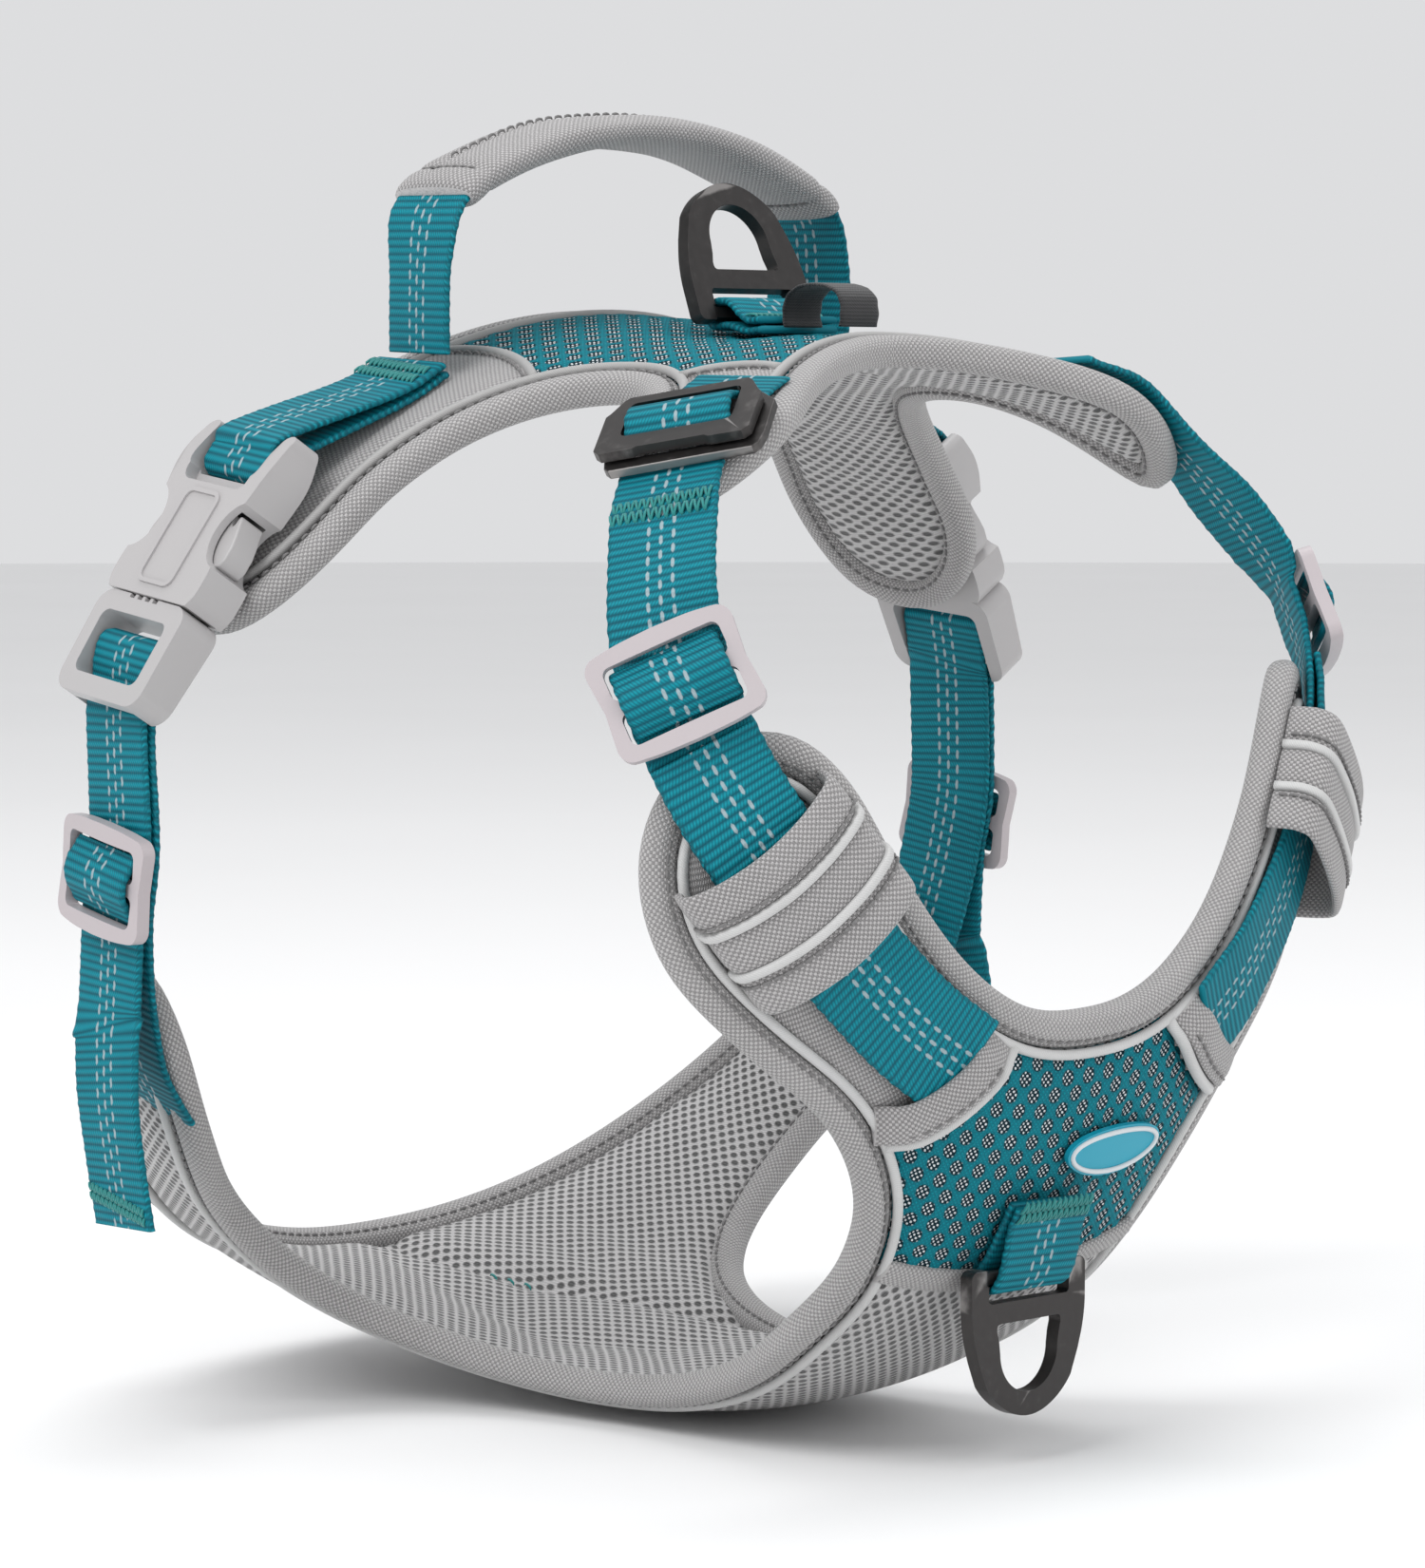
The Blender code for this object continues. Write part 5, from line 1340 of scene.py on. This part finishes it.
def make_keeper(side, label):
    """Sewn band over the neck webbing: three folds of woven fabric with two light cords between."""
    height = 11.5 if side > 0 else 7.8
    arch = [(-20.4, 0.4), (-20.2, 0.3 * height), (-19.6, 0.62 * height), (-17.2, height - 1.2),
            (-10, height - 0.3), (0, height)]
    arch += [(-x, z) for x, z in reversed(arch[:-1])]
    middle = KEEPER_PLACE[0], side * KEEPER_PLACE[1]
    run = torso(middle[0] - 0.012, middle[1] + side * 10) - torso(middle[0] + 0.012, middle[1] - side * 10)
    run = unit(run)
    beside = unit(np.cross(outward(*middle), run))
    rows = []
    for offset, lift in arch:
        dt, turn = place_step(*middle, beside * (offset * MM))
        out = outward(middle[0] + dt, middle[1] + turn)
        rows.append(np.concatenate([on_torso(middle[0] + dt, middle[1] + turn, lift * MM), out]))
    path = resampled(smooth_path(np.array(rows), 8), 1.5 * MM)
    centres = path[:, :3]
    along = unit(np.gradient(centres, axis=0))
    out = unit(np.cross(along, run))
    out *= np.sign((out * path[:, 3:]).sum(-1, keepdims=True))[len(out) // 2]
    sag = np.sin(np.linspace(0, pi, len(centres)))
    length = running_length(centres) / MM

    def band(name, middle_x, half, rise, bulge, material, nodes=()):
        section = squircle(20, 3)[1] * (half, bulge) + (middle_x, rise)
        wrinkle = 1 + 0.05 * np.sin(length / 4.1 + middle_x * 700)
        shift = -side * 0.9 * MM * sag
        rings = (centres[:, None] + run * (section[None, :, :1] + shift[:, None, None])
                 + out[:, None] * (section[None, :, 1:] * wrinkle[:, None, None]))
        mesh = grid_mesh(name, rings, ring_length(section) / MM, np.append(length, length[-1]))
        add(name, mesh, material, "harness", nodes)

    for number, (x, half) in enumerate(((-11.7, 4.9), (0.0, 4.7), (11.7, 4.9))):
        nodes = ("neck_keeper_" + label,) if number == 1 else ()
        band("keeper_fold_{}_{}".format(number + 1, label), x * MM, half * MM, 0.1 * MM, 1.15 * MM, WEAVE,
             nodes)
    for number, x in enumerate((-5.7, 5.7)):
        band("keeper_cord_{}_{}".format(number + 1, label), x * MM, 1.1 * MM, 0.75 * MM, 1.2 * MM, PIPING)
    band("keeper_lining_" + label, 0.0, 15.9 * MM, -0.95 * MM, 0.35 * MM, WEAVE)
    for x in (-8.3, 8.3):
        THREADS.row(centres + run * (x * MM) - run * (side * 0.9 * MM * sag)[:, None] + out * 1.25 * MM, out,
                    period=2.6 * MM)


def handle_line(spacing):
    half = [np.array((HANDLE_X + HANDLE_LEAN * z * MM, y * MM, z * MM)) for y, z in HANDLE_POINTS]
    other = [p * np.array((1, -1, 1)) for p in reversed(half[:-1])]
    return resampled(smooth_path(np.array(half + other), 16), spacing)


def leg_across(point):
    twist = HANDLE_TWIST * max(0.0, min(1.0, (0.030 - point[2]) / 0.015))
    return np.array((cos(twist), sin(twist) * (1 if point[1] > 0 else -1), 0))


SLEEVE_START, SLEEVE_WIDTH, SLEEVE_THICK, SLEEVE_HEM = 61 * MM, 27.5 * MM, 8.6 * MM, 7.5 * MM
SLEEVE_POWER = 2.6


def make_handle():
    """Webbing handle with its padded woven sleeve."""
    line = handle_line(4 * MM)
    mesh = webbing_mesh("handle_loop", [(p, leg_across(p)) for p in line])
    obj = add("handle_loop", mesh, WEB, None, ("handle_webbing",))
    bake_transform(obj)

    fine = handle_line(1.2 * MM)
    arch = fine[(np.abs(fine[:, 1]) < SLEEVE_START) & (fine[:, 2] > 0.030)]
    across, normal = frames_along(arch, np.broadcast_to(np.array((1.0, 0, 0)), arch.shape))
    path = running_length(arch)
    from_end = np.minimum(path, path[-1] - path)
    turns, outline = squircle(44, SLEEVE_POWER)
    hem = 1 - 0.22 * np.exp(-((from_end - SLEEVE_HEM) / (1.2 * MM)) ** 2)
    hem -= 0.25 * np.exp(-from_end / (0.8 * MM))
    fullness = hem * (1 + 0.05 * np.sin(path / (13 * MM)) + 0.03 * np.sin(path / (5.3 * MM) + 1))
    section = np.stack([np.outer(0.93 + 0.07 * fullness, SLEEVE_WIDTH / 2 * outline[:, 0]),
                        np.outer(fullness, SLEEVE_THICK / 2 * outline[:, 1])], -1)
    seam = np.exp(-((turns - 1.5 * pi + 0.25) / 0.10) ** 2)
    section[..., 1] += 0.9 * MM * seam * np.minimum(1, from_end / (10 * MM))[:, None]
    rings = arch[:, None] + across[:, None] * section[..., :1] + normal[:, None] * section[..., 1:]
    uv_u = ring_length(section[20]) / MM
    mesh = grid_mesh("handle_sleeve_pad", rings, uv_u, np.append(path, path[-1]) / MM)
    obj = add("handle_sleeve_pad", mesh, WEAVE, "handle", ("handle_sleeve",))

    rows = Sewing()
    x = np.linspace(-11 * MM, 11 * MM, 20)
    bulge = (1 - np.abs(x / (SLEEVE_WIDTH / 2)) ** SLEEVE_POWER) ** (1 / SLEEVE_POWER)
    near = int(np.abs(from_end[:len(arch) // 2] - SLEEVE_HEM).argmin())
    for here in (near, len(arch) - 1 - near):
        for side in (1, -1):
            top = SLEEVE_THICK / 2 * fullness[here] * bulge
            points = arch[here] + across[here] * x[:, None] + normal[here] * (side * top[:, None])
            rows.row(points, np.repeat(normal[here][None] * side, 20, 0), period=2.8 * MM)
    low = np.nonzero(from_end > 9 * MM)[0]
    level = section[low, 33, 1] - 0.1 * MM
    rows.row(arch[low] - across[low] * 3.0 * MM + normal[low] * level[:, None], -normal[low])
    rows.piece("handle_stitching", "handle")


for dog_side, side_label in SIDES:
    make_keeper(dog_side, side_label)
    for strap_kind in ("girth", "neck"):
        make_hump(strap_kind, dog_side, side_label)
make_handle()


# ---------------------------------------------------------------- moulded and metal parts

def plate_mesh(splines, thick, z=0.0):
    """Flat plate from an outline and its holes, in local millimetres."""
    curve = bpy.data.curves.new("outline", "CURVE")
    curve.dimensions, curve.fill_mode = "2D", "BOTH"
    curve.resolution_u, curve.extrude = 1, thick * MM / 2
    for points in splines:
        spline = curve.splines.new("POLY")
        spline.points.add(len(points) - 1)
        for target, p in zip(spline.points, points):
            target.co = (p[0] * MM, p[1] * MM, 0, 1)
        spline.use_cyclic_u = True
    source = bpy.data.objects.new("outline", curve)
    bpy.context.scene.collection.objects.link(source)
    bpy.context.view_layer.update()
    mesh = bpy.data.meshes.new_from_object(source.evaluated_get(bpy.context.evaluated_depsgraph_get()))
    bpy.data.objects.remove(source)
    with edited(mesh) as bm:
        bmesh.ops.remove_doubles(bm, verts=bm.verts, dist=1e-6)
        bmesh.ops.dissolve_limit(bm, angle_limit=0.01, verts=bm.verts, edges=bm.edges)
        bmesh.ops.translate(bm, verts=bm.verts, vec=(0, 0, z * MM))
    fix_normals(mesh)
    return mesh


def box_mesh(low, high):
    """Box between two corners, in local millimetres."""
    low, high = (Vector([value * MM for value in corner]) for corner in (low, high))
    mesh = bpy.data.meshes.new("box")
    with edited(mesh) as bm:
        bmesh.ops.create_cube(bm, size=1)
        bmesh.ops.scale(bm, verts=bm.verts, vec=high - low)
        bmesh.ops.translate(bm, verts=bm.verts, vec=(low + high) / 2)
    return mesh


def bar_mesh(y):
    """Round bar across a buckle half, in local metres."""
    mesh = bpy.data.meshes.new("bar")
    turn = Vector((1, 0, 0)).to_track_quat("Z", "Y").to_matrix().to_4x4()
    with edited(mesh) as bm:
        bmesh.ops.create_cone(bm, cap_ends=True, segments=28, radius1=BAR_RADIUS, radius2=BAR_RADIUS,
                              depth=30 * MM)
        bmesh.ops.transform(bm, matrix=Matrix.Translation((0, y, 0)) @ turn, verts=bm.verts)
    return mesh


def boolean(mesh, other, operation):
    """Mesh with another cut from it or joined to it; both are used up."""
    objects = [bpy.data.objects.new("solid", m) for m in (mesh, other)]
    for obj in objects:
        bpy.context.scene.collection.objects.link(obj)
    modifier = objects[0].modifiers.new("Boolean", "BOOLEAN")
    modifier.operation, modifier.solver, modifier.object = operation, "EXACT", objects[1]
    bpy.context.view_layer.update()
    depsgraph = bpy.context.evaluated_depsgraph_get()
    result = bpy.data.meshes.new_from_object(objects[0].evaluated_get(depsgraph))
    for obj in objects:
        bpy.data.objects.remove(obj)
    return result


def shaped(mesh, move):
    """Moves every point of a local mesh by a function of its place in millimetres."""
    for vert in mesh.vertices:
        vert.co = Vector(move(*(vert.co / MM))) * MM
    return mesh


def hard(name, mesh, place, material, body, nodes, edge, segments=3):
    """Rigid piece with rounded edges."""
    mesh.transform(place)
    obj = add(name, mesh, material, body, nodes)
    mesh.set_sharp_from_angle(angle=radians(48))
    bevel = obj.modifiers.new("Edges", "BEVEL")
    bevel.width, bevel.segments = edge, segments
    bevel.limit_method, bevel.angle_limit = "ANGLE", radians(38)
    bevel.use_clamp_overlap, bevel.harden_normals = True, False
    smooth = obj.modifiers.new("Normals", "WEIGHTED_NORMAL")
    smooth.keep_sharp = False


def mirrored(right):
    return right + [(-x, y) for x, y in reversed(right)]


def curved(points, per_span=5):
    return [tuple(p) for p in smooth_path(points, per_span)]


def ellipse(cx, cy, rx, ry, steps=40):
    return [(cx + rx * cos(2 * pi * i / steps), cy + ry * sin(2 * pi * i / steps)) for i in range(steps)]


def make_socket(place, label):
    """Socket half: waisted body, open sides, raised frame on its face and two wedge ears."""
    flank = curved([(16.4, 0.3), (17.9, 3.5), (18.0, 9.0), (17.0, 14.0), (16.1, 20.0), (16.6, 26.0),
                    (17.9, 33.0), (18.4, 39.0), (17.9, 44.0)])
    ear = arc((15.9, 45.0), 2.0, 0, 180, 6) + curved([(13.8, 41.0), (13.9, 36.0), (12.0, 33.2)], 4)
    mesh = plate_mesh([mirrored(flank + ear)], 12)
    mesh = boolean(mesh, box_mesh((-14.5, -1, -4), (14.5, 28, 4)), "DIFFERENCE")
    for x in (-1, 1):
        window = [(x * px, py) for px, py in ellipse(19.0, 19.2, 7.3, 8.6)]
        mesh = boolean(mesh, plate_mesh([window], 20), "DIFFERENCE")
    mesh = boolean(mesh, plate_mesh([rounded_box(-12.8, 30.2, 12.8, 60, 3.0)], 9, 6.9), "DIFFERENCE")
    mesh = boolean(mesh, bar_mesh(SOCKET_BAR_Y), "UNION")

    def wedge(x, y, z):
        lean = max(0.0, y - 33.0) / 14
        return x, y, z * (1 - 0.42 * lean * lean) - 0.6 * lean
    hard("buckle_socket_body_" + label, shaped(mesh, wedge), place, PLASTIC, "harness",
         ("buckle_socket_" + label,), 1.5 * MM)
    ridge = [rounded_box(-7.2, 3.2, 7.2, 28.4, 2.8, 8), rounded_box(-6.2, 4.2, 6.2, 27.4, 2.0, 8)]
    hard("buckle_face_frame_" + label, plate_mesh(ridge, 1.2, 5.95), place, PLASTIC, "harness",
         (), 0.3 * MM, 2)


def make_plug(place, label):
    """Plug half: deep frame with a window for the webbing, guide tongue and two sprung prongs."""
    mesh = plate_mesh([rounded_box(-18, -26, 18, 0, 4.6, 8), rounded_box(-13.4, -21, 13.4, -5.0, 2.4, 6)], 11)
    mesh = boolean(mesh, box_mesh((-13.4, -30, -10), (13.4, -20, 1.0)), "DIFFERENCE")
    mesh = boolean(mesh, bar_mesh(PLUG_BAR_Y), "UNION")
    mesh = boolean(mesh, box_mesh((-3.5, -1, -3), (3.5, 20, 3)), "UNION")
    for x in (-6.6, -3.4, -0.2, 3.0):
        mesh = boolean(mesh, box_mesh((x, -1.0, 4.3), (x + 2.0, 1, 6)), "DIFFERENCE")

    def taper(x, y, z):
        low = max(0.0, -y - 12.0) / 14
        return x * (1 - 0.035 * low), y, z * (1 - 0.16 * low)
    hard("buckle_plug_body_" + label, shaped(mesh, taper), place, PLASTIC, "girth_" + label,
         ("buckle_plug_" + label,), 1.3 * MM)
    blade = [(7.5, 0.4), (10.8, 0.4), (11.2, 5.0), (11.8, 9.5), (13.6, 11.4), (16.2, 12.2), (17.2, 14.2),
             (17.2, 17.6), (16.4, 20.4), (15.4, 23.2), (14.9, 25.0), (14.0, 25.2), (13.5, 23.0), (12.9, 22.2),
             (12.3, 23.0), (11.7, 25.2), (10.6, 25.4), (10.1, 23.0), (9.9, 18.0), (9.4, 12.0), (8.4, 6.0)]
    for x, end in ((1, "a"), (-1, "b")):
        name = "{}_{}".format(label, end)
        hard("prong_blade_" + name, plate_mesh([[(x * px, py) for px, py in blade]], 7), place, PLASTIC,
             "prong_" + name, ("buckle_prong_" + name,), 1.3 * MM)


def make_slider(kind, side, label):
    """Strap slider with swollen end bars."""
    half = curved([(0, 13.0), (8, 12.75), (13.2, 12.2)], 6) + arc((13.4, 8.6), 3.6, 80, 0, 6)[1:]
    half += [(16.6, 4.0), (16.2, 0.0)]
    right = half + [(x, -y) for x, y in reversed(half[:-1])]
    outline = right + [(-x, y) for x, y in reversed(right[1:-1])]
    slots = [rounded_box(-13.5, low, 13.5, low + 7.5, 1.8, 6) for low in (1.5, -9.0)]
    thick = SLIDER_THICK / MM
    mesh = plate_mesh([outline] + slots, thick)
    if kind == "girth" and side > 0:
        for x in (-8.0, 0.0, 8.0):
            recess = rounded_box(x - 2.6, -11.9, x + 2.6, -10.1, 0.8, 4)
            mesh = boolean(mesh, plate_mesh([recess], 1.0, thick / 2), "DIFFERENCE")
    sliced(mesh, range(-12, 13, 4))

    def bowed(x, y, z):
        return x, y, z * 1.08 + 0.9 * (1 - (x / 17) ** 2) * min(1.0, abs(y) / 9)
    hard("{}_slider_frame_{}".format(kind, label), shaped(mesh, bowed), slider_seat(kind, side),
         SLIDER_PLASTIC, "{}_adjuster_{}".format(kind, label),
         ("{}_slider_{}".format(kind, label),), 1.15 * MM)


def make_metal_buckle():
    """Two interlocking plates of the neck buckle."""
    tilt = Matrix.Rotation(radians(12), 4, "Z")
    place = seat(0.985, -43.5, 6.6 * MM) @ tilt
    outline = [(-16.9, -11), (-9, -11), (-8, -10.3), (8, -10.3), (9, -11), (16.9, -11), (18.4, -9.5),
               (18.5, 3.5), (17.6, 4.6), (15.2, 9.0), (14.0, 10), (-14.0, 10), (-15.2, 9.0), (-17.6, 4.6),
               (-18.5, 3.5), (-18.4, -9.5)]
    mesh = plate_mesh([outline, rounded_box(-13.2, -5.3, 13.2, 7.4, 1.6, 5)], 2.4)
    mesh = boolean(mesh, box_mesh((-14, -0.4, -1.1), (14, 2.0, 0.7)), "UNION")
    hard("neck_hook_plate", mesh, place, METAL, "neck_hook", ("neck_buckle_hook",), 0.55 * MM)
    hump = [(6.4, -0.2), (5.4, 0.2), (3.4, 1.9), (0.8, 2.6), (-1.8, 1.9), (-3.8, 0.2), (-4.6, -0.2)]
    local_strap("neck_hook_webbing", place, hump, "neck_hook", "neck_buckle_hump", 1.2 * MM)
    outline = [(-17, -11), (17, -11), (18.3, -9.6), (19, -6), (19, 6), (15.6, 9.6), (14.6, 10), (-14.6, 10),
               (-15.6, 9.6), (-19, 6), (-19, -6), (-18.3, -9.6)]
    mesh = plate_mesh([outline, rounded_box(-13.4, -7.2, 13.4, 6.5, 1.6, 5)], 2.2)
    hard("neck_base_plate", mesh, seat(1.005, -45.0, 3.6 * MM) @ tilt, METAL, "harness",
         ("neck_buckle_base",), 0.55 * MM)


def ring_frame(origin, lean, crown_down=False):
    turn = Matrix.Rotation(lean, 4, "Y")
    upright = Matrix(((0, 0, 1), (1, 0, 0), (0, 1, 0))).to_4x4()
    if crown_down:
        turn = turn @ Matrix.Rotation(pi, 4, "Y")
    return Matrix.Translation(Vector(origin)) @ turn @ upright


def make_ring(name, place, body, node):
    """Stamped leash ring: a D-shaped plate on a thinner base bar."""
    bar = RING_BAR / MM
    right = [(14.0, -bar), (14.0, -2.0), (16.6, -2.0)] + arc((17.2, -0.2), 1.8, -80, 0, 5)
    right += curved([(19.0, 4.0), (18.9, 9.0), (18.1, 14.0), (16.6, 19.0)], 4)
    crown = arc((0, 18.5), 14.0, 22, 158, 30)
    crown = [(x * (1 + 0.17 * (1 - min(1, max(0, y - 18.5) / 14) ** 2)), y) for x, y in crown]
    outline = right + crown[1:-1] + [(-x, y) for x, y in reversed(right)]
    hole = arc((0, 17.4), 9.6, 0, 180, 28)
    hole = hole + curved([(-10.0, 14.5), (-10.6, 12.4)], 3) + arc((-9.6, 11.6), 1.0, 180, 270, 4)
    hole = hole + arc((9.6, 11.6), 1.0, 270, 360, 4) + curved([(10.6, 12.4), (10.0, 14.5)], 3)
    slot = rounded_box(-13.4, bar, 13.4, 5.8, 1.0, 4)
    mesh = plate_mesh([outline, hole, slot], RING_THICK / MM)
    for z in (-1, 1):
        low, high = sorted((z * bar, z * 5))
        mesh = boolean(mesh, box_mesh((-14, -4, low), (14, bar + 0.4, high)), "DIFFERENCE")
    hard(name, mesh, place, METAL, body, (node,), 1.0 * MM)


def make_badge():
    """Oval rubber badge bent to the breast plate, with a raised pale rim and a plain face."""
    t, angle = BADGE_PLACE
    across = unit(tangents(t, angle)[1])
    up = unit(np.cross(outward(t, angle), across))
    c, s = cos(BADGE_LEAN), sin(BADGE_LEAN)
    across, up = across * c + up * s, up * c - across * s

    def bent(x, y, z):
        dt, da = place_step(t, angle, (across * x + up * y) * MM)
        return on_torso(t + dt, angle + da, z * MM) / MM
    mesh = plate_mesh([ellipse(0, 0, 17.0, 6.1, 64)], 1.3, 1.2)
    sliced(mesh, range(-14, 15, 2))
    hard("badge_plate", shaped(mesh, bent), Matrix(), BADGE, "harness", ("chest_badge",),
         0.45 * MM)
    ring = np.array([bent(x, y, 1.95) for x, y in ellipse(0, 0, 15.6, 4.9, 72)]) * MM
    beside = np.cross(direction(ring, True), outward(t, angle))
    mesh = cord_ring("badge_rim", ring, beside, round_section(0.6 * MM, 10))
    add("badge_rim", mesh, BADGE_RIM, "harness")


for dog_side, side_label in SIDES:
    make_socket(buckle_frame(dog_side), side_label)
    make_plug(buckle_frame(dog_side), side_label)
    for strap_kind in ("girth", "neck"):
        make_slider(strap_kind, dog_side, side_label)
make_metal_buckle()
make_ring("top_ring_plate", ring_frame(on_torso(TOP_RING_T, 0, RING_AXIS_LIFT), TOP_RING_LEAN), "top_ring",
          "top_leash_ring")
make_ring("chest_ring_plate", ring_frame(on_torso(CHEST_RING_T, CHEST_RING_ANGLE, RING_AXIS_LIFT), 0.0, True),
          "chest_ring", "chest_leash_ring")
make_badge()


# ---------------------------------------------------------------- sewing

def tacks_piece(name, rows, body, length):
    add(name, stitch_mesh(name, rows, length, 0.34 * MM), TACK_THREAD, body)


THREADS.piece("edge_stitching", "harness")
tacks_piece("bar_tacks", TACKS, "harness", 3.4 * MM)
for _, side_label in SIDES:
    tacks_piece("tail_tacks_" + side_label, TAIL_TACKS[side_label], "girth_" + side_label, 2.4 * MM)


# ---------------------------------------------------------------- stage

LOOK_AT = Vector((-0.014, 0, -0.106))


def make_stage():
    """Pale floor under the object, pale surroundings and three soft lamps."""
    place = (0, 0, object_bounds()[0][2] - 0.4 * MM)
    bpy.ops.mesh.primitive_circle_add(vertices=128, radius=7, fill_type="NGON", location=place)
    floor = bpy.context.object
    floor.name = "floor"
    pale = Graph("pale_floor", roughness=0.9)
    grey = pale.mix(pale.noise(3, 2), (0.86, 0.86, 0.86), (0.89, 0.89, 0.89))
    pale.put(pale.shader.inputs["Base Color"], grey)
    floor.data.materials.append(pale.material)
    world = bpy.data.worlds.new("studio")
    bpy.context.scene.world = world
    world.use_nodes = True
    background = world.node_tree.nodes["Background"]
    background.inputs["Color"].default_value = (0.98, 0.985, 1.0, 1)
    background.inputs["Strength"].default_value = 0.74
    lamps = (("key", (0.2, -1.6, 1.5), 1.3, 25), ("fill", (1.7, 0.3, 0.8), 1.2, 7),
             ("top", (-0.3, 0.4, 1.9), 1.5, 13))
    for name, place, size, power in lamps:
        data = bpy.data.lights.new(name, "AREA")
        data.shape, data.size, data.energy = "DISK", size, power
        lamp = bpy.data.objects.new(name, data)
        bpy.context.scene.collection.objects.link(lamp)
        lamp.location = place
        lamp.rotation_euler = (LOOK_AT - lamp.location).to_track_quat("-Z", "Y").to_euler()


def make_camera():
    """Seen from the dog's front right, almost level."""
    azimuth, height, distance = radians(45.5), radians(4.0), 1.3
    away = Vector((sin(azimuth) * cos(height), -cos(azimuth) * cos(height), sin(height)))
    data = bpy.data.cameras.new("camera")
    data.sensor_fit, data.sensor_height, data.lens = "VERTICAL", 36, 124.8
    camera = bpy.data.objects.new("camera", data)
    bpy.context.scene.collection.objects.link(camera)
    camera.location = LOOK_AT + away * distance
    camera.rotation_euler = (-away).to_track_quat("-Z", "Y").to_euler()
    bpy.context.scene.camera = camera
    bpy.context.scene.view_settings.view_transform = "Standard"


make_stage()
make_camera()
